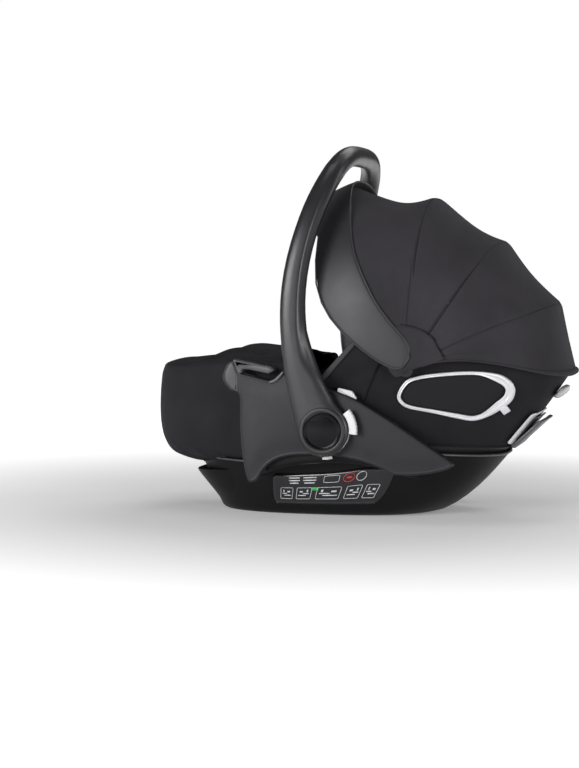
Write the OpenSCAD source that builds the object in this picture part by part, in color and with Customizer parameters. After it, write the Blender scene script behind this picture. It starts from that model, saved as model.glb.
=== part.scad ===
// Infant car seat: a rear-facing carrier with a rocker base, a swinging carrying handle,
// a folding canopy, a foot cover and a three-point harness. Millimetres, +Z up, head end at +X.
// The infant's left side is at -Y. Every side part is drawn for the left and mirrored for the right.

/* [Overall] */
// Length from the foot cover to the canopy's rear hem
seat_l = 680; // [672:2:688]
// Width over the two handle hubs
seat_w = 444; // [442:1:448]
// Height from the floor to the top of the grip
seat_h = 594; // [585:1:600]

/* [Shell] */
// Half width of the shell at its rim
rim_half_w = 172; // [170:1:173]
// Wall of the shell
shell_wall = 3; // [2.5:0.5:4]
// Height of the shell's floor above the ground
shell_floor = 14; // [13:1:16]

/* [Handle] */
// Height of the handle's pivot above the ground
hub_z = 144; // [142:1:146]
// Radius of each hub
hub_r = 41; // [40:0.5:42]
// Radius of the pivot pin
pin_r = 5; // [4.5:0.5:5.5]
// Half thickness of the grip
grip_r = 17; // [16:0.5:18]

/* [Canopy] */
// Height of the canopy's pivot above the ground
fold_z = 238; // [236:1:240]
// Thickness of a canopy bow
bow_t = 2; // [1.8:0.1:2.2]

/* [Belt guide] */
// Width of the vehicle belt that the guides take
belt_w = 48; // [46:1:50]

/* [Hidden] */
$fn = 48;

// Lengths below run from the handle's pivot: +x towards the head end.
foot_reach = 314;
head_reach = seat_l - foot_reach;
hub_x = foot_reach - seat_l / 2;
gap = 0.3;
plan_power = 2.6;
ring_n = 40;

// ---------------------------------------------------------------- colours
ink = [0.10, 0.10, 0.11];
graphite = [0.24, 0.24, 0.26];
soft_black = [0.13, 0.13, 0.14];
silver = [0.75, 0.75, 0.78];
white = [0.92, 0.92, 0.92];
steel = [0.65, 0.66, 0.68];
red = [0.8, 0.1, 0.08];
foam_white = [0.9, 0.9, 0.88];

// ---------------------------------------------------------------- small functions
function mix(a, b, t) = a + (b - a) * t;
function flat(l) = [for (a = l) for (b = a) b];
function spow(v, e) = sign(v) * pow(abs(v), e);
function unit(v) = v / norm(v);

// ---------------------------------------------------------------- closed meshes from grids of points
function band(start, m, n, flip) = [
  for (i = [0 : m - 2]) for (j = [0 : n - 1])
    let (a = start + i * n + j, b = start + i * n + (j + 1) % n, c = b + n, d = a + n)
      each flip ? [[a, b, c], [a, c, d]] : [[a, d, c], [a, c, b]]
];

// A vessel: an outer and an inner surface, each a list of closed rings from the bottom up
module cup(outer, inner) {
  n = len(outer[0]);
  m = len(outer);
  k = len(inner);
  top = (m - 1) * n;
  inside = m * n;
  inner_top = inside + (k - 1) * n;
  rim = [
    for (j = [0 : n - 1]) let (o = top + j, p = top + (j + 1) % n, i = inner_top + j, q = inner_top + (j + 1) % n)
      each [[o, i, q], [o, q, p]]
  ];
  polyhedron(
    concat(flat(outer), flat(inner)),
    concat(band(0, m, n, false), band(inside, k, n, true), rim,
           [[for (j = [0 : n - 1]) j]], [[for (j = [n - 1 : -1 : 0]) inside + j]]),
    convexity = 10);
}

// A closed tube through rings that turn anticlockwise about the way it runs
module tube(rings) {
  n = len(rings[0]);
  m = len(rings);
  polyhedron(
    flat(rings),
    concat(band(0, m, n, false), [[for (j = [0 : n - 1]) j]], [[for (j = [n - 1 : -1 : 0]) (m - 1) * n + j]]),
    convexity = 10);
}

// A tube whose last ring meets its first
module loop_tube(rings) {
  n = len(rings[0]);
  m = len(rings);
  faces = [
    for (i = [0 : m - 1]) for (j = [0 : n - 1])
      let (k = (i + 1) % m, a = i * n + j, b = i * n + (j + 1) % n, c = k * n + (j + 1) % n, d = k * n + j)
        each [[a, d, c], [a, c, b]]
  ];
  polyhedron(flat(rings), faces, convexity = 10);
}

// A sheet with thickness. Seen from outside, rows of the outer grid go up and columns go right
module slab(outer, inner) {
  m = len(outer);
  n = len(outer[0]);
  k = m * n;
  sides = [
    for (i = [0 : m - 2]) for (j = [0 : n - 2])
      let (a = i * n + j, b = a + 1, c = b + n, d = a + n)
        each [[a, d, c], [a, c, b], [k + a, k + b, k + c], [k + a, k + c, k + d]]
  ];
  ends = [
    for (j = [0 : n - 2]) let (a = j, b = j + 1, c = (m - 1) * n + j + 1, d = c - 1)
      each [[a, b, k + b], [a, k + b, k + a], [c, d, k + d], [c, k + d, k + c]]
  ];
  edges = [
    for (i = [0 : m - 2]) let (a = i * n, d = a + n, b = a + n - 1, c = b + n)
      each [[d, a, k + a], [d, k + a, k + d], [b, c, k + c], [b, k + c, k + b]]
  ];
  polyhedron(concat(flat(outer), flat(inner)), concat(sides, ends, edges), convexity = 10);
}

// ---------------------------------------------------------------- the shell's form
rim_pts = [[-294, 232], [-184, 222], [-74, 214], [6, 232], [60, 262], [146, 268], [236, 255], [358, 232]];
function rim_z(x) = lookup(x, rim_pts);
function foot_x(t) = -196 - 98 * pow(t, 0.9);
function head_x(t) = 130 + (head_reach - 138) * pow(t, 0.58);
function half_w(t) = rim_half_w - 64 * (1 - pow(t, 0.6));

// A closed egg-shaped outline from xf to xh, a little wider towards the head
function plan_point(xf, xh, hw, a) = [
  (xf + xh) / 2 + (xh - xf) / 2 * spow(cos(a), 2 / plan_power),
  hw * spow(sin(a), 2 / plan_power) * (1 + 0.04 * cos(a))
];
function level(p, floor_z, t) = [p.x, p.y, mix(floor_z, rim_z(p.x), t)];
function shell_point(t, off, a) =
  level(plan_point(foot_x(t) - off, head_x(t) + off, half_w(t) + off, a), shell_floor - off, t);
function shell_ring(t, off) = [for (j = [0 : ring_n - 1]) shell_point(t, off, 360 * j / ring_n)];

// Half width of the shell, off millimetres outside it, at a point of its side view
function side_y(x, z, off) =
  let (t = (z - shell_floor) / (rim_z(x) - shell_floor), xf = foot_x(t) - off, xh = head_x(t) + off,
       c = (x - (xf + xh) / 2) / ((xh - xf) / 2))
    (half_w(t) + off) * pow(1 - pow(abs(c), plan_power), 1 / plan_power) * (1 + 0.04 * spow(c, plan_power / 2));

levels = [0, 0.06, 0.16, 0.3, 0.5, 0.75, 1];

module left() translate([hub_x, 0, 0]) children();
module right() translate([hub_x, 0, 0]) mirror([0, 1, 0]) children();
module both() {
  left() children();
  right() children();
}
// A cylinder across the seat on its left side, from |y| = y0 out to y1
module across(x, z, r, y0, y1) translate([x, -y1, z]) rotate([-90, 0, 0]) cylinder(r = r, h = y1 - y0);
// An outline of the side view, made solid from |y| = y0 out to y1 on the left side
module side_plate(points, y0, y1)
  translate([0, -y0, 0]) rotate([90, 0, 0]) linear_extrude(y1 - y0) polygon(points);

module shell() color(soft_black) left()
  cup([for (t = levels) shell_ring(t, 0)], [for (t = levels) shell_ring(t, -shell_wall)]);

// ---------------------------------------------------------------- the seat inside the shell
seat_floor = 78;
seat_levels = [0, 0.1, 0.25, 0.45, 0.7, 1];
function seat_foot_x(t) = -50 - 215 * t;
function seat_head_x(t) = 45 + 290 * pow(t, 0.8);
function seat_half_w(t) = 95 + 60 * pow(t, 0.5);
function seat_point(t, off, a) =
  level(plan_point(seat_foot_x(t) - off, seat_head_x(t) + off, seat_half_w(t) + off, a), seat_floor - off, t);
function seat_ring(t, off) = [for (j = [0 : ring_n - 1]) seat_point(t, off, 360 * j / ring_n)];
pad_t = 11;

module seat_pad() color(ink) left()
  cup([for (t = seat_levels) seat_ring(t, pad_t)], [for (t = seat_levels) seat_ring(t, 0)]);

foam_levels = [0.16, 0.3, 0.5, 0.75, 1];
module foam_core() color(foam_white) left() cup(
  [for (t = foam_levels) let (k = t * 0.99) shell_ring(k, -shell_wall - 0.6)],
  [for (t = seat_levels) let (k = t * 0.99) seat_ring(k, pad_t + 0.8)]);

// A pad that lies on the seat between two angles and two levels
module seat_slab(t0, t1, a0, a1, off0, off1, rows = 5, cols = 14) {
  function grid(off) = [
    for (i = [0 : rows]) [for (j = [0 : cols]) seat_point(mix(t0, t1, i / rows), off, mix(a0, a1, j / cols))]
  ];
  slab(grid(off0), grid(off1));
}

module newborn_insert() color(graphite) left() seat_slab(0.05, 0.86, -100, 100, -2, -13);
module head_support() color(graphite) left() seat_slab(0.6, 0.9, -64, 64, -15, -34, 3, 10);

// ---------------------------------------------------------------- the rocker base
base_levels = [0, 0.05, 0.12, 0.22, 0.36];
base_wall = 3;
function base_point(t, a, inward) =
  let (p = plan_point(foot_x(t) - 16 + inward, head_x(t) + 7 - inward, half_w(t) + 8 - inward, a))
    level(p, 0, mix(0, 0.4, t / 0.36));
function base_ring(t, inward) = [for (j = [0 : ring_n - 1]) base_point(t, 360 * j / ring_n, inward)];
screw_spots = [[-120, -60], [-120, 60], [60, -60], [60, 60]];
rib_xs = [-120, -30, 60];

module rocker_base() color(soft_black) left() difference() {
  union() {
    cup([for (t = base_levels) base_ring(t, 0)],
        [for (t = base_levels) [for (p = base_ring(t, base_wall)) t == 0 ? [p.x, p.y, base_wall] : p]]);
    for (x = rib_xs) translate([x - 8, -85, 2]) cube([16, 170, shell_floor - 2.6]);
  }
  for (p = screw_spots) translate([p.x, p.y, -1]) cylinder(r = 3.6, h = shell_floor + 2);
  for (p = screw_spots) translate([p.x, p.y, -1]) cylinder(r = 6.5, h = 3.5);
}

module base_screws() color(steel) left() for (p = screw_spots) translate([p.x, p.y, 0]) {
  translate([0, 0, 2.3]) cylinder(r = 3.4, h = shell_floor - 2.9);
  translate([0, 0, 0.8]) cylinder(r = 6, h = 1.6);
}

module label_panel() {
  function grid(off) = [
    for (i = [0 : 3]) [for (j = [0 : 8]) base_point(mix(0.07, 0.27, i / 3), mix(254, 286, j / 8), -off)]
  ];
  slab(grid(2.2), grid(0.6));
}
module label_panel_left() color(graphite) left() label_panel();
module label_panel_right() color(graphite) right() label_panel();

// ---------------------------------------------------------------- side wings with their belt guides
wing_in = 188;
wing_out = 197;
// The belt guide's bar stands over the wing's top edge, open towards the head, with the belt's slot under it
bar_end = -132 + belt_w;
bar_top = [[-148, 253], [bar_end, 241], [bar_end + 4, 237], [bar_end - 6, 233]];
bar_under = [[-127, 240], [-131, 237]];
wing_outline = concat(
  [[-140, 196], [-155, 204], [-166, 218], [-167, 232], [-160, 246]], bar_top, bar_under,
  [[-131, 232], [-128, 229.5], [-88, 220], [-80, 224], [-68, 236], [-60, 229], [6, 208], [48, 193], [90, 169],
   [153, 129], [194, 101], [201, 94], [196, 88], [150, 76], [109, 75], [90, 85], [60, 95], [35, 101], [0, 105],
   [-34, 104], [-61, 102], [-84, 94], [-100, 80], [-112, 62], [-128, 62], [-136, 100], [-140, 150]]);
bar_outline = concat([[-152, 248]], bar_top, bar_under, [[-140, 236]]);
lip_outline = [[-88, 220], [-80, 224], [-68, 236], [-62, 230], [-76, 218], [-86, 214.5]];

module wing() {
  difference() {
    union() {
      side_plate(wing_outline, wing_in, wing_out);
      side_plate(bar_outline, wing_in - 5, wing_out + 6);
      side_plate(lip_outline, wing_in - 4, wing_out + 3);
      across(0, hub_z, 18, 150, wing_in + 1);
      for (x = [-48, -24]) translate([x, -wing_in - 1, 112]) cube([4, 36, 84]);
    }
    cup([for (t = levels) shell_ring(t, 1.2)], [for (t = levels) shell_ring(t, -shell_wall - 30)]);
    across(0, hub_z, pin_r + 0.05, 100, wing_out + 1);
    across(0, hub_z, 12, 100, 176);
  }
}
module wing_left() color(graphite) left() wing();
module wing_right() color(graphite) right() wing();

// ---------------------------------------------------------------- fabric cover of the head end
cover_t = 2.2;
module head_wrap() {
  function grid(off) = [
    for (i = [0 : 6]) [for (j = [0 : 22]) shell_point(mix(0.42, 0.965, i / 6), off, mix(-88, 88, j / 22))]
  ];
  slab(grid(0.8 + cover_t), grid(0.8));
}
module head_cover() color(ink) left() head_wrap();

// ---------------------------------------------------------------- foot cover
muff_t = 5;
muff_a = 78;
muff_edge_x = -84;
muff_wall = [0.41, 0.55, 0.78, 1];
muff_dome = [0.12, 0.3, 0.55, 0.8, 1];
function muff_side(t, s, off) =
  let (p = plan_point(foot_x(t) - 20 - off, head_x(t) + 7 + off, half_w(t) + 7 + off, 180 + muff_a * s))
    [p.x, p.y, mix(shell_floor, rim_z(p.x) + 5, t)];
function muff_mouth(s, off) = [muff_edge_x, -150 * sin(90 * s), 242 + 22 * cos(90 * s) + off];
function muff_top(u, s, off) =
  let (a = muff_side(1, s, off), b = muff_mouth(s, off), p = mix(a, b, u)) [p.x, p.y, mix(a.z, b.z, pow(u, 0.4))];
module muff() {
  function grid(off) = [
    for (t = muff_wall) [for (j = [0 : 20]) muff_side(t, mix(-1, 1, j / 20), off)],
    for (u = muff_dome) [for (j = [0 : 20]) muff_top(u, mix(-1, 1, j / 20), off)]
  ];
  slab(grid(0), grid(-muff_t));
}
module foot_cover() color(ink) left() muff();

// ---------------------------------------------------------------- rear of the head end
module rear_slab(z0, z1, a, off0, off1, thick, rows = 3, cols = 6) {
  function t_of(z) = (z - shell_floor) / (rim_z(350) - shell_floor);
  function grid(extra) = [
    for (i = [0 : rows]) [
      for (j = [0 : cols])
        shell_point(t_of(mix(z0, z1, i / rows)), mix(off0, off1, i / rows) + extra, mix(-a, a, j / cols))]
  ];
  slab(grid(thick), grid(0));
}
module rear_frame() color(silver) left() rear_slab(124, 176, 22, on_cover, on_cover, 3);
module rear_belt_hook() color(graphite) left() union() {
  rear_slab(112, 166, 17, 8, 22, 4);
  rear_slab(112, 122, 17, on_cover, 8, 6, 1);
}
module rear_release_lever() color(steel) left() rear_slab(188, 210, 10, 6, 9, 7, 2, 4);

// ---------------------------------------------------------------- side vents
vent_outline = [
  [108, 197], [116, 214], [131, 226], [166, 233], [221, 237], [262, 233], [280, 223], [287, 209], [284, 194],
  [274, 182], [249, 166], [224, 158], [199, 162], [164, 170], [127, 177], [113, 185]
];
vent_centre = [200, 198];
vent_band = 11;
on_cover = 0.8 + cover_t + 1.6;
// A point of the vent's outline, moved in towards its centre and set off the cover
function vent_point(p, inward, off) =
  let (q = p - unit(p - vent_centre) * inward) [q.x, -side_y(q.x, q.y, off), q.y];

module vent_frame() {
  n = len(vent_outline);
  loop_tube([
    for (i = [0 : n - 1]) let (p = vent_outline[n - 1 - i])
      [vent_point(p, 0, on_cover), vent_point(p, 1.5, on_cover + 5),
       vent_point(p, vent_band, on_cover + 5), vent_point(p, vent_band, on_cover)]
  ]);
}
module vent_frame_left() color(silver) left() vent_frame();
module vent_frame_right() color(silver) right() vent_frame();

// The grille fills the frame. Its columns run from the narrow end, its rows from the lower edge up
module vent_grille() {
  xs = [124, 145, 170, 195, 220, 245, 264, 272];
  low = [[124, 191], [145, 187], [170, 182], [195, 176], [220, 172], [245, 179], [264, 190], [272, 200]];
  high = [[124, 208], [145, 217], [170, 221], [195, 224], [220, 225], [245, 222], [264, 215], [272, 210]];
  function grid(off) = [
    for (i = [0 : 3]) [for (x = xs) let (z = mix(lookup(x, low), lookup(x, high), i / 3)) [x, -side_y(x, z, off), z]]
  ];
  slab(grid(on_cover + 1.6), grid(on_cover));
}
module vent_grille_left() color(ink) left() vent_grille();
module vent_grille_right() color(ink) right() vent_grille();

// The tab slides along the straight lower edge of the frame and works the vent's shutter
tab_along = unit([-25, -16]);
tab_across = [tab_along.y, -tab_along.x];
module vent_tab() {
  function spot(u, v, off) =
    let (q = [274, 181] + tab_along * u - tab_across * v) [q.x, -side_y(q.x, q.y, off), q.y];
  function grid(off) = [for (v = [11, 6, 1.4]) [for (u = [13, 6.5, 0]) spot(u, v, off)]];
  slab(grid(on_cover + 6), grid(on_cover + 0.8));
}
module vent_tab_left() color(silver) left() vent_tab();
module vent_tab_right() color(silver) right() vent_tab();

// ---------------------------------------------------------------- pivot pins and lock rings
ring_in = wing_out + 0.2;
hub_in = seat_w / 2 - 20.5;
hub_out = seat_w / 2;
module pivot_pins() color(steel) both() union() {
  across(0, hub_z, pin_r, 176.4, hub_out - 5);
  across(0, hub_z, 11, 171, 176);
  across(0, hub_z, pin_r, 176, 176.5);
}
module lock_ring() difference() {
  union() {
    across(0, hub_z, hub_r - 1, ring_in, hub_in - 0.4);
    intersection() {
      across(0, hub_z, hub_r + 5, ring_in, hub_in - 0.4);
      side_plate([[0, hub_z], [-5, hub_z - 60], [16, hub_z - 60]], ring_in, hub_in);
    }
  }
  across(0, hub_z, pin_r + 0.5, ring_in - 1, hub_in);
}
module lock_ring_left() color(white) left() lock_ring();
module lock_ring_right() color(white) right() lock_ring();

// ---------------------------------------------------------------- carrying handle
arm_y = seat_w / 2 - 10.25;
handle_h = seat_h - hub_z - grip_r;
arm_power = 3.4;
rise_power = 4;
// Half width of the handle's arch at a height h above its pivot, and its lean towards the foot end
function arch_y(h) = arm_y * pow(1 - pow(h / handle_h, rise_power), 1 / arm_power);
function lean(h) = let (u = h / handle_h) 12 * u * u - 52 * sin(180 * pow(u, 0.9));
wide_pts = [[0, 36], [30, 33], [60, 27.5], [100, 23.5], [150, 21], [200, 19.5], [300, 17.5], [400, grip_r]];
thick_pts = [[0, 9.4], [60, 9.4], [150, 9.8], [260, 11.5], [340, 14], [400, grip_r]];
arm_hs = [14, 40, 66, 95, 130, 165, 200, 240, 280, 315, 345, 372, 392, 402];
grip_h = arm_hs[len(arm_hs) - 1];
function arm_spot(h) = [lean(h), -arch_y(h), hub_z + h];
grip_y = arch_y(grip_h);
function grip_spot(y) = let (h = handle_h * pow(1 - pow(abs(y) / arm_y, arm_power), 1 / rise_power))
  [lean(h), y, hub_z + h];

// Axes of the section where the handle runs along d: across its width, and towards its inside
function section_axes(d) = let (t = unit(d), w = unit([1, 0, 0] - t.x * t)) [w, cross(t, w)];
function section(c, axes, a, b, angles) = [for (k = angles) c + axes[0] * a * cos(k) + axes[1] * b * sin(k)];
half_steps = concat([2.5], [for (k = [1 : 7]) 22.5 * k], [177.5]);

// Half of an arm's hollow casing: side 0 is its inner half and side 180 its outer half
module arm_casing(side) difference() {
  tube([
    for (i = [0 : len(arm_hs) - 1])
      let (h = arm_hs[i], c = arm_spot(h), ax = section_axes(arm_spot(h + 1) - arm_spot(h - 1)),
           a = lookup(h, wide_pts), b = lookup(h, thick_pts), wall = 3)
        concat(section(c, ax, a, b, [for (k = half_steps) k + side]),
               section(c, ax, a - wall, b - wall, [for (k = half_steps) 180 - k + side]))
  ]);
  across(0, hub_z, hub_r + 0.05, hub_in - 5, hub_out + 5);
}
module handle_outer_left() color(graphite) left() arm_casing(180);
module handle_inner_left() color(graphite) left() arm_casing(0);
module handle_outer_right() color(graphite) right() arm_casing(180);
module handle_inner_right() color(graphite) right() arm_casing(0);

module handle_grip() color(ink) left() {
  steps = 16;
  full = [for (k = [0 : 22.5 : 337.5]) k];
  tube([
    for (i = [0 : steps])
      let (y = -grip_y * cos(180 * i / steps), c = i == 0 ? arm_spot(grip_h) : grip_spot(y),
           d = i == 0 ? arm_spot(grip_h + 1) - arm_spot(grip_h - 1)
             : i == steps ? [for (q = [arm_spot(grip_h - 1) - arm_spot(grip_h + 1)]) each [q.x, -q.y, q.z]]
             : grip_spot(min(y + 1, grip_y)) - grip_spot(max(y - 1, -grip_y)))
        section(c, section_axes(d), grip_r, grip_r, full)
  ]);
}

// ---------------------------------------------------------------- hubs
cap_r = 28.7;
button_from = -6;
button_to = 40;
module sector(a0, a1, r, y0, y1)
  side_plate(concat([[0, hub_z]], [for (k = [0 : 4]) let (a = mix(a0, a1, k / 4)) [r * cos(a), hub_z + r * sin(a)]]),
             y0, y1);
module hub() difference() {
  across(0, hub_z, hub_r, hub_in, hub_out - 0.2);
  across(0, hub_z, cap_r + 0.3, hub_out - 4, hub_out + 1);
  across(0, hub_z, 12, hub_in + 5, hub_out);
  across(0, hub_z, pin_r + 0.08, hub_in - 1, hub_out);
  difference() {
    sector(button_from - 5, button_to + 5, hub_r + 30, hub_in + 3, hub_out - 5);
    across(0, hub_z, hub_r - 6.5, hub_in, hub_out);
  }
}
module hub_left() color(graphite) left() hub();
module hub_right() color(graphite) right() hub();
module hub_caps() color(ink) both() across(0, hub_z, cap_r, hub_out - 3.8, hub_out);

module lock_springs() color(steel) {
  coil_r = 8;
  wire_r = 1;
  turns = 3;
  per_turn = 14;
  both() tube([
    for (i = [0 : turns * per_turn])
      let (a = 360 * i / per_turn, out = [cos(a), 0, sin(a)],
           c = [0, -hub_in - 6.5 - 6.5 * i / (turns * per_turn), hub_z] + coil_r * out)
        [for (k = [0 : 60 : 300]) c + wire_r * (cos(k) * out + sin(k) * [0, -1, 0])]
  ]);
}

module release_button() difference() {
  sector(button_from, button_to, 60, hub_in + 3.6, hub_out - 5.6);
  across(0, hub_z, hub_r + 0.6, hub_in, hub_out);
  difference() {
    across(0, hub_z, 80, hub_in, hub_out);
    across(0, hub_z, hub_r + 13, hub_in - 1, hub_out + 1);
  }
}
module release_button_left() color(white) left() release_button();
module release_button_right() color(white) right() release_button();

// ---------------------------------------------------------------- adapter latches and their buttons
module adapter_latches() color(steel) both() difference() {
  side_plate([[22, 128], [48, 128], [48, 184], [24, 188]], 179, wing_in - 0.4);
  side_plate([[29, 100], [41, 100], [41, 158], [29, 158]], 181, wing_in - 2.4);
}
button_outline = [[16, 193], [17, 210], [40, 205], [47, 194], [47, 188.5]];
module memory_button_left() color(white) left() side_plate(button_outline, 179.5, wing_in - 0.6);
module memory_button_right() color(white) right() side_plate(button_outline, 179.5, wing_in - 0.6);

// ---------------------------------------------------------------- canopy
fold_x = 127;
fold_pin_r = 4;
hem_r = head_reach - fold_x;
bow_angles = [113, 87, 58, 25.5, -2];
bow_radii = [316, 274, 238, 237, hem_r];
sags = [26, 19, 16, 7];
bow_power = 2.8;
bow_w = 5;
bow_drop = 2.8;
cloth_t = 1.2;
bow_pitch = bow_t + 0.3;
function bow_in(k) = 178.6 + bow_pitch * (4 - k);
cloth_in = bow_in(0) + bow_t + 0.6;
cloth_out = cloth_in + cloth_t;

// A point at s, from -1 at the left pivot to 1 at the right, of the arch that stands at an angle
function arch_point(angle, radius, half, s) =
  let (t = 90 * (1 - abs(s)), r = radius * pow(sin(t), 2 / bow_power), y = half * spow(cos(t), 2 / bow_power))
    [fold_x + r * cos(angle), s < 0 ? -y : y, fold_z + r * sin(angle)];

// A bow's strip, with its width along the fold, and an eye round the pin at each end
module bow(k) {
  a = bow_angles[k];
  r_out = bow_radii[k] - cloth_t - gap - bow_drop;
  side = [-sin(a), 0, cos(a)] * bow_w / 2;
  y_in = bow_in(k);
  near = [-0.998, -0.99, -0.97];
  ss = concat(near, [for (s = [-9 : 9]) s / 10], [for (i = [len(near) - 1 : -1 : 0]) -near[i]]);
  difference() {
    union() {
      tube([
        for (s = ss) let (o = arch_point(a, r_out, y_in + bow_t, s), i = arch_point(a, r_out - bow_t, y_in, s))
          [o + side, o - side, i - side, i + side]
      ]);
      for (m = [0, 1]) mirror([0, m, 0]) across(fold_x, fold_z, 9, y_in, y_in + bow_t);
    }
    for (m = [0, 1]) mirror([0, m, 0]) across(fold_x, fold_z, fold_pin_r + 0.08, y_in - 1, y_in + bow_t + 1);
  }
}
module canopy_rear_bow() color(ink) left() bow(4);
module canopy_bow_3() color(ink) left() bow(3);
module canopy_bow_2() color(ink) left() bow(2);
module canopy_bow_1() color(ink) left() bow(1);
module canopy_front_bow() color(ink) left() bow(0);
module canopy_pins() color(steel) both() across(fold_x, fold_z, fold_pin_r, 178, cloth_in - 0.1);

// The cloth between bow k and the one in front of it, dished between the two
module panel(k) {
  rows = 5;
  cols = 26;
  function grid(half, inward) = [
    for (i = [0 : rows]) let (u = mix(0.012, 0.988, i / rows))
      [for (j = [0 : cols])
        arch_point(mix(bow_angles[k], bow_angles[k - 1], u),
                   mix(bow_radii[k], bow_radii[k - 1], u) - sags[k - 1] * sin(180 * u) - inward,
                   half, mix(-0.975, 0.975, j / cols))]
  ];
  slab(grid(cloth_in, cloth_t), grid(cloth_out, 0));
}
module canopy_panel_rear() color(ink) left() panel(4);
module canopy_panel_3() color(ink) left() panel(3);
module canopy_panel_2() color(ink) left() panel(2);
module canopy_panel_1() color(ink) left() panel(1);

// The visor is a stiff band over the canopy's front, from pivot to pivot, wide and round at its ends
visor_front = [[22, 172], [49, 168], [85, 158], [126, 151], [162, 145], [195, 139], [225, 132], [316, 126]];
visor_back = [[22, 76], [51, 87], [80, 105], [122, 113], [316, 113]];
module visor_band() {
  rows = 5;
  ss = [for (s = [-0.975, -0.955, -0.925, -0.87, -0.8, -0.7, -0.6, -0.5, -0.4, -0.3, -0.2, -0.1]) s];
  all = concat(ss, [0], [for (i = [len(ss) - 1 : -1 : 0]) -ss[i]]);
  function row_r(s) = bow_radii[0] * pow(sin(90 * (1 - abs(s))), 2 / bow_power);
  function grid(half, radius) = [
    for (i = [0 : rows])
      [for (s = all) arch_point(mix(lookup(row_r(s), visor_back), lookup(row_r(s), visor_front), i / rows),
                                radius, half, s)]
  ];
  slab(grid(cloth_out + 3, bow_radii[0] + 4), grid(cloth_out + 0.6, bow_radii[0] + 1.5));
}
module visor() color(graphite) left() visor_band();

// ---------------------------------------------------------------- harness
strap_w = 38;
lap_levels = [0.22, 0.3, 0.38, 0.46];
tongue_z = 125;
function seat_line(t, off) = let (p = seat_point(t, -off, 0)) [p.x, p.z];
// A strap up the middle of the seat's back: line holds its [x, z] points, its centre runs from y0 to y1
module strap(line, y0, y1, thick, width) {
  n = len(line) - 1;
  up = [-0.5, 0.87] * thick;
  function grid(side) = [
    for (i = [0 : n]) let (p = line[i] + side * up, y = mix(y0, y1, i / n))
      [for (e = [-1, 0, 1]) [p.x, y + e * width / 2, p.y]]
  ];
  slab(grid(1), grid(0));
}
back_line = concat([[34, tongue_z + 0.6], [62, tongue_z + 6]], [for (t = concat(lap_levels, [0.54])) seat_line(t, 26)]);
module shoulder_strap_left() color(ink) left() strap(back_line, -14, -48, 1.6, strap_w * 0.72);
module shoulder_strap_right() color(ink) left() strap(back_line, 14, 48, 1.6, strap_w * 0.72);
module shoulder_pads() color(graphite) left() for (m = [-1, 1])
  strap([for (t = lap_levels) seat_line(t, 29)], m * 30, m * 45, 7, strap_w);

buckle_z = 118;
buckle_size = [46, 50, 16];
module buckle_body() color(ink) left() difference() {
  translate([-38, -buckle_size.y / 2, buckle_z]) cube(buckle_size);
  translate([-33, -14, buckle_z + 9]) cube([22, 28, 10]);
}
module buckle_button() color(red) left() translate([-32.6, -13.6, buckle_z + 12.4]) cube([21.2, 27.2, 5.6]);
module buckle_tongues() color(steel) left() for (m = [0, 1]) mirror([0, m, 0])
  translate([8.4, 3, tongue_z - 2]) cube([30, 20, 2.4]);
module crotch_strap() color(ink) left() side_plate(
  [[-39, 79], [-36, 79], [-22, 106], [-18, 117.6], [-25, 117.6], [-29, 106]], -19, 19);

// The adjuster lies on the seat's foot slope
module on_slope() left() translate([-104, 0, 113.3]) rotate([0, 34, 0]) translate([0, 0, 2]) children();
module adjuster_housing() color(ink) on_slope() difference() {
  translate([-15, -26, 0]) cube([30, 52, 10]);
  translate([-9, -14, 4]) cube([18, 28, 10]);
}
module adjuster_button() color(graphite) on_slope() translate([-8.6, -13.6, 6.6]) cube([17.2, 27.2, 5]);
module adjuster_strap() color(ink) on_slope() translate([-72, -12, 0.4]) cube([56.8, 24, 1.8]);

// ---------------------------------------------------------------- parts
shell();
foam_core();
seat_pad();
newborn_insert();
head_support();
rocker_base();
base_screws();
label_panel_left();
label_panel_right();
wing_left();
wing_right();
head_cover();
foot_cover();
rear_frame();
rear_belt_hook();
pivot_pins();
lock_ring_left();
lock_ring_right();
vent_frame_left();
vent_frame_right();
vent_grille_left();
vent_grille_right();
adapter_latches();
canopy_pins();
canopy_rear_bow();
canopy_panel_rear();
shoulder_strap_left();
shoulder_strap_right();
shoulder_pads();
crotch_strap();
buckle_body();
buckle_tongues();
adjuster_housing();
adjuster_strap();
handle_outer_left();
handle_inner_left();
handle_outer_right();
handle_inner_right();
handle_grip();
hub_left();
hub_right();
hub_caps();
lock_springs();
release_button_left();
release_button_right();
canopy_bow_3();
canopy_panel_3();
canopy_bow_2();
canopy_panel_2();
canopy_bow_1();
canopy_panel_1();
canopy_front_bow();
visor();
vent_tab_left();
vent_tab_right();
rear_release_lever();
memory_button_left();
memory_button_right();
buckle_button();
adjuster_button();
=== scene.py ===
"""The looks of an infant car seat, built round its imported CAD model.

Lengths are in millimetres from the handle's pivot: +x to the head end, -y to the infant's left, and
z up from the floor. place() turns them into the frame's metres. A side piece is drawn for the left
and mirrored for the right.
"""
import math

import bmesh
import bpy
import numpy as np
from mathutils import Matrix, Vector
from mathutils.bvhtree import BVHTree
from mathutils.geometry import delaunay_2d_cdt


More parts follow.
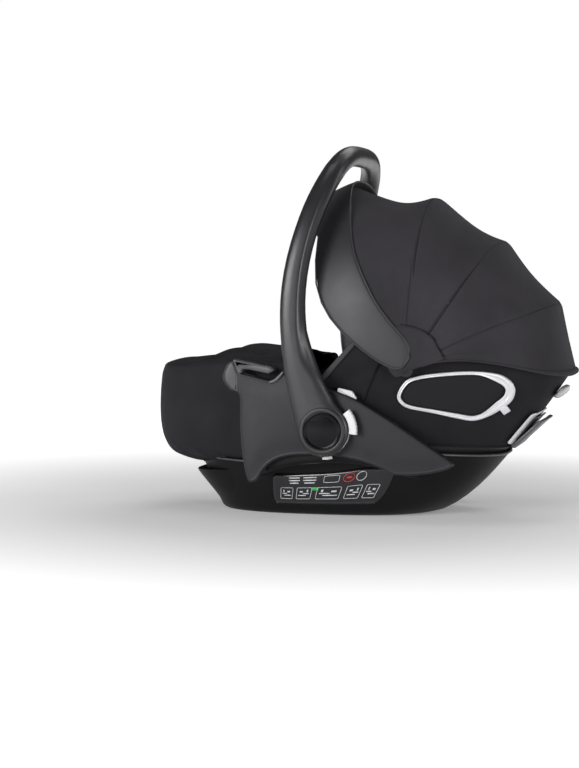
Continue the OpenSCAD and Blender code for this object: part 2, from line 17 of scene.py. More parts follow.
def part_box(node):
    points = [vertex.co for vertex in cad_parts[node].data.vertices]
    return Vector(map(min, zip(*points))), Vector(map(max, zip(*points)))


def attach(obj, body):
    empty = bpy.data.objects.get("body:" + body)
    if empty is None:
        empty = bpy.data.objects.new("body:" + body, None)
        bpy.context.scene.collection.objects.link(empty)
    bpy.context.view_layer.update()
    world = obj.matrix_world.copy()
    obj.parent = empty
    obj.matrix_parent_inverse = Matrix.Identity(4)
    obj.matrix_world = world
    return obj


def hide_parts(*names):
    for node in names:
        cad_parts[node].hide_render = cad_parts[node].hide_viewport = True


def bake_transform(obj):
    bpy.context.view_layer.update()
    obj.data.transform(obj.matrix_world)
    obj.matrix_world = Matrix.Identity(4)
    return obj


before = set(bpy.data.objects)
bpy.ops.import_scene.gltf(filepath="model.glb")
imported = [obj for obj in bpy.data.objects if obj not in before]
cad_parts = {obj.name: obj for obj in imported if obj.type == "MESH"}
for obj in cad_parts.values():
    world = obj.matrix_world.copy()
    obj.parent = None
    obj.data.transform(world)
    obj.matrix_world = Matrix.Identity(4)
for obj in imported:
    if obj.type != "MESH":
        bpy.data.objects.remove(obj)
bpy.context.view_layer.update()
SIDES = ("left", "right")

# ---------------------------------------------------------------- places that the CAD model gives
MM = 0.001


def middle(node, axis):
    low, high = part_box(node)
    return (low[axis] + high[axis]) / 2 / MM


def top_of(node, axis):
    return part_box(node)[1][axis] / MM


HUB_X = middle("hub_caps", 0)
HUB_Z = middle("hub_caps", 2)
HUB_OUT = top_of("hub_caps", 1)
FOLD_X = middle("canopy_pins", 0) - HUB_X
FOLD_Z = middle("canopy_pins", 2)
CLOTH_Y = top_of("canopy_panel_3", 1)
WING_IN = -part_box("wing_left")[0][1] / MM - 15
WING_OUT = WING_IN + 9
GRIP_R = 17
HANDLE_H = top_of("handle_grip", 2) - HUB_Z - GRIP_R
ARM_Y = HUB_OUT - 10.25
# Half the width of the shell at its rim, and the height of its floor
RIM_W = 172
FLOOR_Z = 14


def place(p, side="left"):
    """A point in millimetres from the handle's pivot, as a point of the frame in metres."""
    y = -p[1] if side == "right" else p[1]
    return ((HUB_X + p[0]) * MM, y * MM, p[2] * MM)


# ---------------------------------------------------------------- small functions
def mix(a, b, t):
    """The value t of the way from a to b."""
    return a + (b - a) * t


def ease(t):
    """A smooth step from 0 to 1."""
    t = min(max(t, 0.0), 1.0)
    return t * t * (3 - 2 * t)


def spow(v, e):
    """A power that keeps the sign."""
    return math.copysign(abs(v) ** e, v)


def lookup(x, table):
    """The value at x, read between the rows of a table."""
    xs, ys = zip(*table)
    return float(np.interp(x, xs, ys))


def steps(a, b, n):
    """The values from a to b in n even steps, both ends included."""
    return [mix(a, b, i / n) for i in range(n + 1)]


def hump(x, centre, width):
    """1 at the centre, falling smoothly to 0 at width on either side."""
    return ease(1 - abs(x - centre) / width)


def curve(points, spans=6, closed=True):
    """A smooth curve through the points, with so many steps from each to the next."""
    pts = [np.array(p, float) for p in points]
    n = len(pts)
    made = []
    for i in range(n if closed else n - 1):
        if closed:
            a, b, c, d = (pts[(i + k) % n] for k in (-1, 0, 1, 2))
        else:
            a, b, c, d = (pts[min(max(i + k, 0), n - 1)] for k in (-1, 0, 1, 2))
        for k in range(spans):
            t = k / spans
            made.append(b + 0.5 * t * (c - a + t * (2 * a - 5 * b + 4 * c - d + t * (3 * (b - c) + d - a))))
    if not closed:
        made.append(pts[-1])
    return made


def rounded(points, radius, arc=4):
    """A closed 2-D outline with its corners rounded."""
    pts = [np.array(p, float) for p in points]
    made = []
    for i, p in enumerate(pts):
        before, after = pts[i - 1] - p, pts[(i + 1) % len(pts)] - p
        cut = min(radius, 0.45 * np.linalg.norm(before), 0.45 * np.linalg.norm(after))
        start = p + before / np.linalg.norm(before) * cut
        end = p + after / np.linalg.norm(after) * cut
        for k in range(arc + 1):
            t = k / arc
            made.append(start * (1 - t) ** 2 + 2 * p * t * (1 - t) + end * t * t)
    return made


def inset(outline, distance):
    """A closed 2-D outline moved inwards; it runs clockwise or anticlockwise."""
    pts = np.array(outline, float)
    area = sum(pts[i - 1][0] * pts[i][1] - pts[i][0] * pts[i - 1][1] for i in range(len(pts)))
    ahead = np.roll(pts, -1, 0) - np.roll(pts, 1, 0)
    length = np.linalg.norm(ahead, axis=1, keepdims=True)
    normal = np.stack([-ahead[:, 1], ahead[:, 0]], 1) / np.maximum(length, 1e-6)
    return pts + normal * distance * (1 if area > 0 else -1)


def unit(v):
    """The direction of v, one long."""
    return v / max(np.linalg.norm(v), 1e-9)


# ---------------------------------------------------------------- the forms that the CAD model has
# The rim's height along the seat, the head end's reach, and the exponent of the rounded plans
RIM = [(-294, 232), (-184, 222), (-74, 214), (6, 232), (60, 262), (146, 268), (236, 255), (358, 232)]
HEAD_REACH = 366
PLAN = 2.6


def rim_z(x):
    """The rim's height at x, smoothed."""
    return sum(lookup(x + d, RIM) for d in (-16, -8, 0, 8, 16)) / 5


def foot_x(t):
    return -196 - 98 * max(t, 0) ** 0.9


def head_x(t):
    return 130 + (HEAD_REACH - 138) * max(t, 0) ** 0.58


def half_w(t):
    return RIM_W - 64 * (1 - max(t, 0) ** 0.6)


def plan_point(xf, xh, hw, a):
    """The point at the angle a of a rounded plan from xf to xh with the half width hw."""
    c, s = math.cos(math.radians(a)), math.sin(math.radians(a))
    return ((xf + xh) / 2 + (xh - xf) / 2 * spow(c, 2 / PLAN), hw * spow(s, 2 / PLAN) * (1 + 0.04 * c))


def level(p, floor, t):
    return (p[0], p[1], mix(floor, rim_z(p[0]), t))


def shell_point(t, off, a):
    """The shell's wall at t of its height and the angle a, off outside it."""
    return level(plan_point(foot_x(t) - off, head_x(t) + off, half_w(t) + off, a), FLOOR_Z - off, t)


def side_y(x, z, off):
    """Half width of the shell, off outside it, at a point of its side view."""
    t = (z - FLOOR_Z) / (rim_z(x) - FLOOR_Z)
    xf, xh = foot_x(t) - off, head_x(t) + off
    c = (x - (xf + xh) / 2) / ((xh - xf) / 2)
    return (half_w(t) + off) * max(1 - abs(c) ** PLAN, 0) ** (1 / PLAN) * (1 + 0.04 * spow(c, PLAN / 2))


def seat_point(t, off, a):
    """The seat hollow's wall at t of its depth and the angle a, off outside it."""
    p = plan_point(-50 - 215 * t - off, 45 + 290 * t ** 0.8 + off, 95 + 60 * t ** 0.5 + off, a)
    return level(p, 78 - off, t)


def base_point(t, a, inward=0):
    """The rocker base's wall at t of the shell's height and the angle a."""
    p = plan_point(foot_x(t) - 16 + inward, head_x(t) + 7 - inward, half_w(t) + 8 - inward, a)
    return level(p, 0, mix(0, 0.4, t / 0.36))


# ---------------------------------------------------------------- meshes
def piece(name, points, faces, side="left", closed=True, crisp=None):
    """A mesh of its own from points in millimetres. crisp is the angle above which edges stay sharp."""
    mesh = bpy.data.meshes.new(name)
    mesh.from_pydata([place(p, side) for p in points], [], faces)
    bm = bmesh.new()
    bm.from_mesh(mesh)
    bmesh.ops.remove_doubles(bm, verts=bm.verts, dist=2e-5)
    if closed:
        bmesh.ops.recalc_face_normals(bm, faces=bm.faces)
    elif side == "right":
        bmesh.ops.reverse_faces(bm, faces=bm.faces)
    for face in bm.faces:
        face.smooth = True
    bm.to_mesh(mesh)
    bm.free()
    if crisp:
        mesh.set_sharp_from_angle(angle=math.radians(crisp))
    return link(name, mesh)


def link(name, data):
    """A new object of the scene that shows the data."""
    obj = bpy.data.objects.new(name, data)
    bpy.context.scene.collection.objects.link(obj)
    return obj


def grid_faces(rows, cols, wrap, loop=False):
    """The quads of a grid of points, joined across its sides with wrap and its ends with loop."""
    faces = []
    for i in range(rows if loop else rows - 1):
        for j in range(cols if wrap else cols - 1):
            a, b = i * cols + j, i * cols + (j + 1) % cols
            k = (i + 1) % rows
            faces.append((a, b, k * cols + (j + 1) % cols, k * cols + j))
    return faces


def loft(name, rings, side="left", loop=False, crisp=None, face=None, back=None):
    """A closed solid through rings of points, all as long. face and back give the ends' own meshes."""
    n = len(rings[0])
    points = [p for r in rings for p in r]
    faces = grid_faces(len(rings), n, True, loop)
    if not loop:
        for end, first in ((face, 0), (back, (len(rings) - 1) * n)):
            if end:
                faces += [tuple(len(points) + i for i in f) for f in end[1]]
                points += end[0]
            else:
                faces.append(tuple(range(first, first + n)))
    return piece(name, points, faces, side, crisp=crisp)


def open_grid(name, rows, side="left"):
    """An open mesh through rows of the same number of points."""
    faces = grid_faces(len(rows), len(rows[0]), False)
    return piece(name, [p for r in rows for p in r], faces, side, False)


def skin(name, rows, thickness, side="left", core=(40, 0, 150), levels=1):
    """An open sheet whose outside looks away from core, with thickness on its inside."""
    obj = open_grid(name, rows, side)
    centre = Vector(place(core, side))
    if sum((f.center - centre).dot(f.normal) * f.area for f in obj.data.polygons) < 0:
        obj.data.flip_normals()
    thicken(obj, thickness)
    if levels:
        subdivide(obj, levels)
    return obj


def modify(obj, name, kind, **settings):
    """Adds a modifier with its settings."""
    made = obj.modifiers.new(name, kind)
    for key, value in settings.items():
        setattr(made, key, value)
    return obj


def thicken(obj, thickness):
    """Gives a sheet thickness on its inside."""
    return modify(obj, "thickness", "SOLIDIFY", thickness=thickness * MM, offset=-1)


def subdivide(obj, levels=1):
    """Smooths a piece by dividing its faces."""
    return modify(obj, "smooth", "SUBSURF", levels=levels, render_levels=levels)


def soften(obj, width):
    """Rounds the edges of a hard piece."""
    modify(obj, "join", "WELD", merge_threshold=2e-5)
    return modify(obj, "round", "BEVEL", width=width * MM, segments=2, angle_limit=math.radians(40),
                  harden_normals=False)


def crowned_face(outline, y, crown, pitch=11):
    """A mesh over a flat outline that swells by crown mm away from its edge."""
    ring = np.array(outline)
    (x0, z0), (x1, z1) = ring.min(0), ring.max(0)
    grid = [(x, z) for x in np.arange(x0, x1, pitch) for z in np.arange(z0, z1, pitch)]
    grid = [p for p in grid if np.hypot(*(ring - p).T).min() > pitch * 0.7]
    spots = [Vector(p) for p in outline] + [Vector(p) for p in grid]
    spots, _, faces, *_ = delaunay_2d_cdt(spots, [], [list(range(len(ring)))], 1, 1e-5)
    far = [np.hypot(*(ring - tuple(p)).T).min() for p in spots]
    return [(p[0], -y - crown * (1 - math.exp(-d / 16)), p[1]) for p, d in zip(spots, far)], faces


def plate(name, outline, levels, side="left", hollow=None, crown=0):
    """A plate in the side view. levels are (inset, |y|) from its back round its edge to its face.

    hollow gives the inside of its back in the same way, from under the face to the back edge.
    """
    inner = hollow[::-1] if hollow else []
    rings = [[(p[0], -y, p[1]) for p in inset(outline, d)] for d, y in levels[::-1] + inner]
    flat = [[(p[0], p[2]) for p in ring] for ring in (rings[0], rings[-1])]
    face = crowned_face(flat[0], levels[-1][1], crown) if crown else None
    back = crowned_face(flat[1], -rings[-1][0][1], 0) if crown else None
    return loft(name, rings, side, crisp=50, face=face, back=back)


def sweep(name, path, radius, side="left", loop=False, sides=10, flat=1.0, up=(0, 0, 1)):
    """A round or flattened tube along a path; radius is a number or a function of the share of the way."""
    pts = [np.array(p, float) for p in path]
    n = len(pts)
    rings = []
    for i, p in enumerate(pts):
        ahead = pts[(i + 1) % n] if loop else pts[min(i + 1, n - 1)]
        back = pts[i - 1] if loop or i else pts[0]
        d = unit(ahead - back)
        w = unit(np.cross(d, up))
        v = np.cross(w, d)
        r = radius(i / (n - 1)) if callable(radius) else radius
        rings.append([tuple(p + w * r * math.cos(k) + v * r * flat * math.sin(k))
                      for k in (2 * math.pi * j / sides for j in range(sides))])
    return loft(name, rings, side, loop)


def spin(name, profile, x=0, z=None, side="left", count=64, squeeze=None):
    """A profile of (radius, |y|) turned round an axis across the seat, closed at both ends."""
    z = HUB_Z if z is None else z
    rings = []
    for r, y in profile:
        ring = []
        for k in range(count):
            a = 2 * math.pi * k / count
            share = squeeze(a, r) if squeeze else 1
            ring.append((x + r * share * math.cos(a), -y, z + r * share * math.sin(a)))
        rings.append(ring)
    return loft(name, rings, side, crisp=50)


def fit(obj, body, look, slot, *stands_for):
    """Gives a piece its body, its material and the CAD nodes that it stands for, which it hides. slot, the
    record's slot, is not used.
    """
    obj.data.materials.clear()
    obj.data.materials.append(look)
    if body:
        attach(obj, body)
    if stands_for:
        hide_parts(*stands_for)
    return obj


def lay_out(obj, held, *rests_on):
    """Hands back the sheet as it is."""
    return obj


# ---------------------------------------------------------------- materials
def shader(name, colour, rough, **values):
    """A material with one Principled shader: it, its nodes, the shader, and the object's coordinates."""
    mat = bpy.data.materials.new(name)
    mat.use_nodes = True
    tree = mat.node_tree
    main = tree.nodes["Principled BSDF"]
    main.inputs["Base Color"].default_value = (*colour, 1)
    main.inputs["Roughness"].default_value = rough
    for key, value in values.items():
        main.inputs[key.replace("_", " ")].default_value = value
    return mat, tree, main, tree.nodes.new("ShaderNodeTexCoord").outputs["Object"]


def node(tree, kind, links=(), **settings):
    """A node with its inputs set by name, either to values or to other nodes' sockets."""
    made = tree.nodes.new(kind)
    for key, value in settings.items():
        setattr(made, key, value)
    for key, value in dict(links).items():
        if isinstance(value, bpy.types.NodeSocket):
            tree.links.new(value, made.inputs[key])
        else:
            made.inputs[key].default_value = value
    return made


def tint(tree, main, colour, share, spread, scale, at):
    """Lets the colour drift between two shades with a soft large noise."""
    noise = node(tree, "ShaderNodeTexNoise", {"Vector": at, "Scale": scale, "Detail": 3.0})
    ramp = node(tree, "ShaderNodeValToRGB", {"Fac": noise.outputs["Fac"]})
    ramp.color_ramp.elements[0].position = 0.5 - spread
    ramp.color_ramp.elements[1].position = 0.5 + spread
    ramp.color_ramp.elements[0].color = (*[c * (1 - share) for c in colour], 1)
    ramp.color_ramp.elements[1].color = (*[min(c * (1 + share), 1) for c in colour], 1)
    tree.links.new(ramp.outputs["Color"], main.inputs["Base Color"])
    return ramp


def vary_rough(tree, main, low, high, scale, at):
    """Lets the roughness drift between low and high with a soft noise."""
    noise = node(tree, "ShaderNodeTexNoise", {"Vector": at, "Scale": scale, "Detail": 4.0})
    spread = node(tree, "ShaderNodeMapRange",
                  {"Value": noise.outputs["Fac"], "To Min": low, "To Max": high})
    tree.links.new(spread.outputs["Result"], main.inputs["Roughness"])


def raise_by(tree, main, height, depth, strength):
    """Bumps the surface by a height socket."""
    bump = node(tree, "ShaderNodeBump", {"Height": height, "Distance": depth, "Strength": strength})
    tree.links.new(bump.outputs["Normal"], main.inputs["Normal"])


def worn_edges(tree, main, ramp, colour):
    """Lightens the outer edges a little, where hands and belts rub."""
    shape = node(tree, "ShaderNodeNewGeometry")
    edge = node(tree, "ShaderNodeMapRange", {"Value": shape.outputs["Pointiness"], "From Min": 0.515,
                                             "From Max": 0.60, "To Min": 0.0, "To Max": 0.55})
    worn = node(tree, "ShaderNodeMix", {"Factor": edge.outputs["Result"]}, data_type="RGBA")
    tree.links.new(ramp.outputs["Color"], worn.inputs[6])
    worn.inputs[7].default_value = (*[min(c * 2.1, 1) for c in colour], 1)
    tree.links.new(worn.outputs[2], main.inputs["Base Color"])


def plastic(name, colour, rough, grain=900.0, depth=0.00012, strength=0.35, worn=True, **values):
    """Moulded plastic with a fine spark-eroded grain."""
    mat, tree, main, at = shader(name, colour, rough, **values)
    ramp = tint(tree, main, colour, 0.10, 0.2, 9.0, at)
    vary_rough(tree, main, rough - 0.05, rough + 0.07, 55.0, at)
    cells = node(tree, "ShaderNodeTexVoronoi", {"Vector": at, "Scale": grain})
    raise_by(tree, main, cells.outputs["Distance"], depth, strength)
    if worn:
        worn_edges(tree, main, ramp, colour)
    return mat


def knit(name, colour, rough=0.85, sheen=0.04, pitch=520.0, strength=0.5, share=0.14):
    """Fine jersey: columns of loops crossed by courses, with a soft nap."""
    mat, tree, main, at = shader(name, colour, rough, Sheen_Weight=sheen, Sheen_Roughness=0.45)
    main.inputs["Sheen Tint"].default_value = (0.62, 0.60, 0.66, 1)
    main.inputs["Specular IOR Level"].default_value = 0.12
    tint(tree, main, colour, share, 0.22, 14.0, at)
    wave = {"Vector": at, "Scale": pitch, "Distortion": 1.5, "Detail": 1.0}
    columns = node(tree, "ShaderNodeTexWave", wave, bands_direction="X")
    courses = node(tree, "ShaderNodeTexWave", wave, bands_direction="Z")
    loops = node(tree, "ShaderNodeMath", {0: columns.outputs["Fac"], 1: courses.outputs["Fac"]},
                 operation="MULTIPLY")
    soft = node(tree, "ShaderNodeTexNoise", {"Vector": at, "Scale": 60.0, "Detail": 2.0})
    high = node(tree, "ShaderNodeMath", {0: loops.outputs[0], 1: soft.outputs["Fac"]}, operation="ADD")
    raise_by(tree, main, high.outputs[0], 0.00025, strength)
    return mat


def leatherette(name, colour, rough=0.46):
    """Smooth coated cloth with a fine pebble grain."""
    mat, tree, main, at = shader(name, colour, rough, Sheen_Weight=0.03, Sheen_Roughness=0.5)
    main.inputs["Specular IOR Level"].default_value = 0.4
    tint(tree, main, colour, 0.07, 0.25, 11.0, at)
    vary_rough(tree, main, rough - 0.04, rough + 0.08, 30.0, at)
    grain = node(tree, "ShaderNodeTexVoronoi", {"Vector": at, "Scale": 780.0}, feature="SMOOTH_F1")
    fine = node(tree, "ShaderNodeTexNoise", {"Vector": at, "Scale": 1500.0, "Detail": 2.0})
    high = node(tree, "ShaderNodeMath", {0: grain.outputs["Distance"], 1: fine.outputs["Fac"]},
                operation="ADD")
    raise_by(tree, main, high.outputs[0], 0.00016, 0.4)
    return mat


def webbing(name, colour):
    """Woven strap: close ribs across a lengthwise twill."""
    mat, tree, main, at = shader(name, colour, 0.6, Sheen_Weight=0.2, Sheen_Roughness=0.4)
    tint(tree, main, colour, 0.16, 0.2, 40.0, at)
    rib = node(tree, "ShaderNodeTexWave", {"Vector": at, "Scale": 210.0, "Distortion": 0.6},
               bands_direction="Y")
    twill = node(tree, "ShaderNodeTexWave", {"Vector": at, "Scale": 360.0, "Distortion": 0.4},
                 bands_direction="DIAGONAL")
    high = node(tree, "ShaderNodeMath", {0: rib.outputs["Fac"], 1: twill.outputs["Fac"]}, operation="ADD")
    raise_by(tree, main, high.outputs[0], 0.0003, 0.6)
    return mat


def air_mesh(name, colour):
    """Open spacer mesh: round holes in a darker ground."""
    mat, tree, main, at = shader(name, colour, 0.7, Specular_IOR_Level=0.25)
    holes = node(tree, "ShaderNodeTexVoronoi", {"Vector": at, "Scale": 900.0, "Randomness": 0.9})
    ramp = node(tree, "ShaderNodeValToRGB", {"Fac": holes.outputs["Distance"]})
    ramp.color_ramp.elements[0].position = 0.25
    ramp.color_ramp.elements[0].color = (0.006, 0.006, 0.007, 1)
    ramp.color_ramp.elements[1].position = 0.5
    ramp.color_ramp.elements[1].color = (*colour, 1)
    tree.links.new(ramp.outputs["Color"], main.inputs["Base Color"])
    raise_by(tree, main, holes.outputs["Distance"], 0.0003, 0.3)
    return mat


def metal(name, colour, rough, metallic=1.0, brushed=True):
    """Steel or silver paint with faint brushing."""
    mat, tree, main, at = shader(name, colour, rough, Metallic=metallic)
    tint(tree, main, colour, 0.06, 0.2, 30.0, at)
    vary_rough(tree, main, rough - 0.06, rough + 0.08, 120.0 if brushed else 35.0, at)
    grain = node(tree, "ShaderNodeTexNoise", {"Vector": at, "Scale": 1400.0, "Detail": 1.0})
    raise_by(tree, main, grain.outputs["Fac"], 0.00006, 0.3)
    return mat


def foam(name, colour):
    """Expanded beads pressed together."""
    mat, tree, main, at = shader(name, colour, 0.85)
    tint(tree, main, colour, 0.05, 0.2, 25.0, at)
    beads = node(tree, "ShaderNodeTexVoronoi", {"Vector": at, "Scale": 260.0}, feature="DISTANCE_TO_EDGE")
    raise_by(tree, main, beads.outputs["Distance"], 0.0008, 0.5)
    return mat


def printed(name, colour):
    """Matt ink on the label."""
    mat, tree, main, at = shader(name, colour, 0.5)
    tint(tree, main, colour, 0.08, 0.2, 90.0, at)
    grain = node(tree, "ShaderNodeTexNoise", {"Vector": at, "Scale": 1800.0})
    raise_by(tree, main, grain.outputs["Fac"], 0.00003, 0.2)
    return mat


CANOPY = knit("canopy_jersey", (0.036, 0.034, 0.039))
# Darker than the canopy's jersey: the cover's own dark tone with painted shade from the wing's top edge
# worked in.
COVER = knit("cover_jersey_shaded", (0.016, 0.015, 0.018))
MUFF = knit("foot_cover_jersey", (0.021, 0.0198, 0.0235), rough=0.7, sheen=0.01)
LINER = knit("liner_jersey", (0.016, 0.015, 0.018), pitch=420.0)
INSERT = knit("insert_jersey", (0.085, 0.085, 0.092), pitch=420.0, sheen=0.08)
TAPE = knit("edge_tape", (0.06, 0.06, 0.066), pitch=700.0)
BINDING = knit("binding_tape", (0.014, 0.013, 0.016), pitch=700.0)
VISOR = leatherette("visor_leatherette", (0.020, 0.0198, 0.023), 0.40)
# The visor's leatherette made lighter for its binding: a painted highlight along the visor's edge.
VISOR_EDGE_HIGHLIGHT = leatherette("visor_binding_highlight", (0.036, 0.036, 0.04), 0.4)
WEBBING = webbing("harness_webbing", (0.012, 0.012, 0.014))
MESH = air_mesh("vent_mesh", (0.010, 0.0095, 0.012))
HANDLE = plastic("handle_plastic", (0.019, 0.018, 0.021), 0.31)
GRIP = plastic("grip_rubber", (0.018, 0.017, 0.020), 0.33, grain=800.0)
HUB = plastic("hub_plastic", (0.012, 0.012, 0.013), 0.42)
WING = plastic("wing_plastic", (0.0095, 0.0085, 0.0115), 0.44, Specular_IOR_Level=0.38)
LOBE = plastic("belt_guide_plastic", (0.045, 0.044, 0.048), 0.40)
GUIDE = plastic("belt_guide_gloss", (0.062, 0.063, 0.067), 0.28, depth=0.00005)
BASE = plastic("base_plastic", (0.0035, 0.0034, 0.004), 0.46, worn=False, Specular_IOR_Level=0.2)
SHELL = plastic("shell_plastic", (0.012, 0.012, 0.013), 0.46)
INK_GLOSS = plastic("cap_gloss", (0.003, 0.003, 0.004), 0.16, grain=300.0, depth=0.00002, worn=False,
                    Specular_IOR_Level=0.16)
LABEL = plastic("label_gloss", (0.008, 0.008, 0.010), 0.2, grain=500.0, depth=0.00003, worn=False,
                Coat_Weight=0.4, Coat_Roughness=0.1)
WHITE = plastic("white_plastic", (0.72, 0.72, 0.74), 0.4, worn=False)
LEVER = plastic("light_grey_plastic", (0.5, 0.5, 0.52), 0.38, worn=False)
RED = plastic("red_plastic", (0.60, 0.02, 0.015), 0.35, worn=False)
SILVER = metal("silver_plastic", (0.78, 0.78, 0.81), 0.34, 0.35, brushed=False)
STEEL = metal("steel", (0.56, 0.57, 0.59), 0.3)
FOAM = foam("foam_beads", (0.80, 0.80, 0.78))
PRINT_WHITE = printed("print_white", (0.62, 0.63, 0.65))
PRINT_RED = printed("print_red", (0.65, 0.03, 0.03))
PRINT_GREEN = printed("print_green", (0.03, 0.45, 0.10))


def cord(name, path, radius, slot="canopy_fabric", side="left", look=BINDING, loop=False, sides=8):
    """A seam, hem, piping or bead that follows a path on the seat."""
    return fit(sweep(name, path, radius, side, loop, sides=sides), "seat", look, slot)


# ---------------------------------------------------------------- canopy
# From the front bow to the fixed rear one: angle, reach and how far the cloth leans forward at the pivot.
# SAGS is how far each panel dips between its two bows, from the front one on.
BOWS = [113, 87, 58, 25.5, -2]
RADII = [316, 274, 238, 237, HEAD_REACH - FOLD_X]
SAGS = [26, 19, 16, 8]
LEAN = [0, 5, 4, 9, 27]
ARCH = 2.8
PANELS = [("canopy_panel_rear", 4, "seat", "bow_3"), ("canopy_panel_3", 3, "bow_3", "bow_2"),
          ("canopy_panel_2", 2, "bow_2", "bow_1"), ("canopy_panel_1", 1, "bow_1", "front")]


def arch(angle, radius, half, s, out=0.0, dish=0.0):
    """A point at s, from -1 at the left pivot to 1 at the right, of the arch that stands at an angle.
    It lies out outside the arch; dish pulls it in, mostly towards the pivots' line."""
    t = math.pi / 2 * (1 - abs(s))
    r_share, y_share = math.sin(t) ** (2 / ARCH), math.cos(t) ** (2 / ARCH)
    nr, ny = r_share ** (ARCH - 1) / radius, y_share ** (ARCH - 1) / half
    n = math.hypot(nr, ny)
    nr, ny = nr / n, ny / n
    r = radius * r_share + nr * (out - dish)
    y = half * y_share + ny * (out - 0.3 * dish)
    a = math.radians(angle)
    return (FOLD_X + r * math.cos(a), math.copysign(y, s), FOLD_Z + r * math.sin(a))


def share_at(s):
    """The share of its full reach that an arch has at s."""
    return math.sin(math.pi / 2 * (1 - abs(s))) ** (2 / ARCH)


def leaned(lean, s):
    """How far the cloth's edge turns forward of its bow towards the pivot."""
    return lean * (1 - share_at(s)) ** 1.6


# A panel's cross-section beside the seams at its two ends: (distance from the seam, height)
NEAR = [(0, -1.8), (1.0, -1.5), (2.4, -0.5), (4.6, 0.0), (9, 0.0)]
FAR = [(10, 0.0), (6.0, -0.1), (3.4, -0.6), (1.2, -1.5), (0, -1.8)]
MIDDLE = 9


def panel_row(k, i, s):
    """(share of the way from bow k to the next, height of the seam's profile) on row i at s."""
    arc = max(math.radians(BOWS[k - 1] - BOWS[k]) * RADII[k] * share_at(s), 4)
    fit_in = min(1, arc / 46)
    if i < len(NEAR):
        return NEAR[i][0] * fit_in / arc, NEAR[i][1] * min(1, fit_in * 1.3)
    if i >= len(NEAR) + MIDDLE:
        d, h = FAR[i - len(NEAR) - MIDDLE]
        return 1 - d * fit_in / arc, h * fit_in * (k > 1)
    start, end = NEAR[-1][0] * fit_in / arc, 1 - FAR[0][0] * fit_in / arc
    return mix(start, end, (i - len(NEAR) + 1) / (MIDDLE + 1)), 0.0


def canopy_panel(name, k):
    """The jersey between two bows, dished by its own pull, with soft drag lines near the pivots."""
    ends = [0.985, 0.97, 0.95, 0.925, 0.89, 0.85]
    ss = [-e for e in ends] + steps(-0.8, 0.8, 40) + ends[::-1]
    rows, shares = [], []
    for i in range(len(NEAR) + MIDDLE + len(FAR)):
        row = []
        for s in ss:
            u, seam = panel_row(k, i, s)
            radius = mix(RADII[k], RADII[k - 1], u)
            angle = mix(BOWS[k], BOWS[k - 1], u) + leaned(mix(LEAN[k], LEAN[k - 1], u), s)
            pull = math.sin(math.pi * min(max(u, 0), 1)) ** 0.85
            drag = 0.9 * math.sin(u * 13 + k) + 0.35 * math.sin(u * 22 + 2 * k)
            drag = drag * hump(abs(s), 0.84, 0.17) * pull
            row.append(arch(angle, radius, CLOTH_Y, s, seam + drag, SAGS[k - 1] * pull * share_at(s) ** 2))
            shares.append(u)
        rows.append(row)
    if k == 1:
        for turn in (2, 4, 6.5):
            rows.append([arch(BOWS[0] + turn, RADII[0], CLOTH_Y, s, 0.0) for s in ss])
            shares += [1.0] * len(ss)
    obj = skin(name + "_cloth", rows, 1.3, core=(FOLD_X, 0, FOLD_Z), levels=1)
    obj.data.materials.append(CANOPY)
    lay_out(obj, "stretched", "canopy_bow_3", "canopy_bow_2", "canopy_bow_1", "canopy_front_bow")
    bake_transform(obj)
    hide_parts(name)
    return obj


def canopy_hem():
    """The rolled hem of the canopy's rear edge, over the fixed bow."""
    path = [arch(BOWS[4] + leaned(LEAN[4], s), RADII[4], CLOTH_Y, s, -0.6) for s in steps(-0.985, 0.985, 90)]

    def radius(t):
        return mix(1.5, 4.8, ease(1 - abs(2 * t - 1) * 1.35))

    return fit(sweep("canopy_hem", path, radius), "seat", CANOPY, "canopy_fabric", "canopy_rear_bow")


def bow_sleeve(k, body):
    """The lining's sleeve that holds a bow on the inside of the canopy."""
    path = [arch(BOWS[k], RADII[k] - 5, CLOTH_Y - 3.6, s) for s in steps(-0.9, 0.9, 70)]
    return fit(sweep(f"bow_sleeve_{k}", path, 3.4, flat=0.75), body, LINER, "liner_fabric")


# The reach of the cloth over the canopy's pivot at each angle round it
PATCH_EDGE = [(-110, 10), (0, 10.5), (12, 12), (16, 30), (17.7, 66), (21, 61), (37, 60.5), (51, 65),
              (74, 66.5), (90, 68.5), (103, 72), (120, 55), (170, 30), (187, 24.5), (200, 22), (212, 19),
              (225, 11), (250, 10)]


def patch_point(a, v, extra=0.0):
    """A point on the cloth over the canopy's pivot, v of the way out to its edge at the angle a."""
    turn = math.radians(a)
    r = lookup(a, PATCH_EDGE) * max(v, 0.01)
    outer = hump(v, 0.74, 0.24) * hump(a, 55, 60)
    fold = 1.7 * math.sin(8 * turn + 5 * v) * outer + 0.9 * math.sin(15 * turn - 6 * v) * outer
    lift = 0.4 + 2.6 * hump(v, 0.6, 0.6) + 0.8 * hump(v, 0.93, 0.1) + fold + extra
    half = CLOTH_Y * max(1 - (r / 245) ** ARCH, 0) ** (1 / ARCH)
    return (FOLD_X + r * math.cos(turn), -half - lift, FOLD_Z + r * math.sin(turn))


def pivot_patch(side):
    """The gathered cloth over the canopy's pivot, which runs into the head cover, with its rolled edge."""
    around = steps(-110, 8, 20) + steps(9.5, 24, 24) + steps(25, 250, 110)
    rows = [[patch_point(a, v) for a in around] for v in steps(0, 1, 22)]
    obj = skin(f"pivot_patch_{side}", rows, 0.4, side)
    lay_out(obj, "laid", "canopy_panel_3_cloth")
    fit(obj, "seat", CANOPY, "canopy_fabric")
    edge = [patch_point(a, 0.985, -0.2) for a in [15, 16, 17] + steps(18, 98, 46)]
    cord(f"pivot_patch_edge_{side}", edge, 0.9, side=side, look=CANOPY)
    seam = [patch_point(a, 1.03, -1.0) for a in steps(20, 98, 46)]
    cord(f"pivot_patch_seam_{side}", seam, 0.8, side=side)


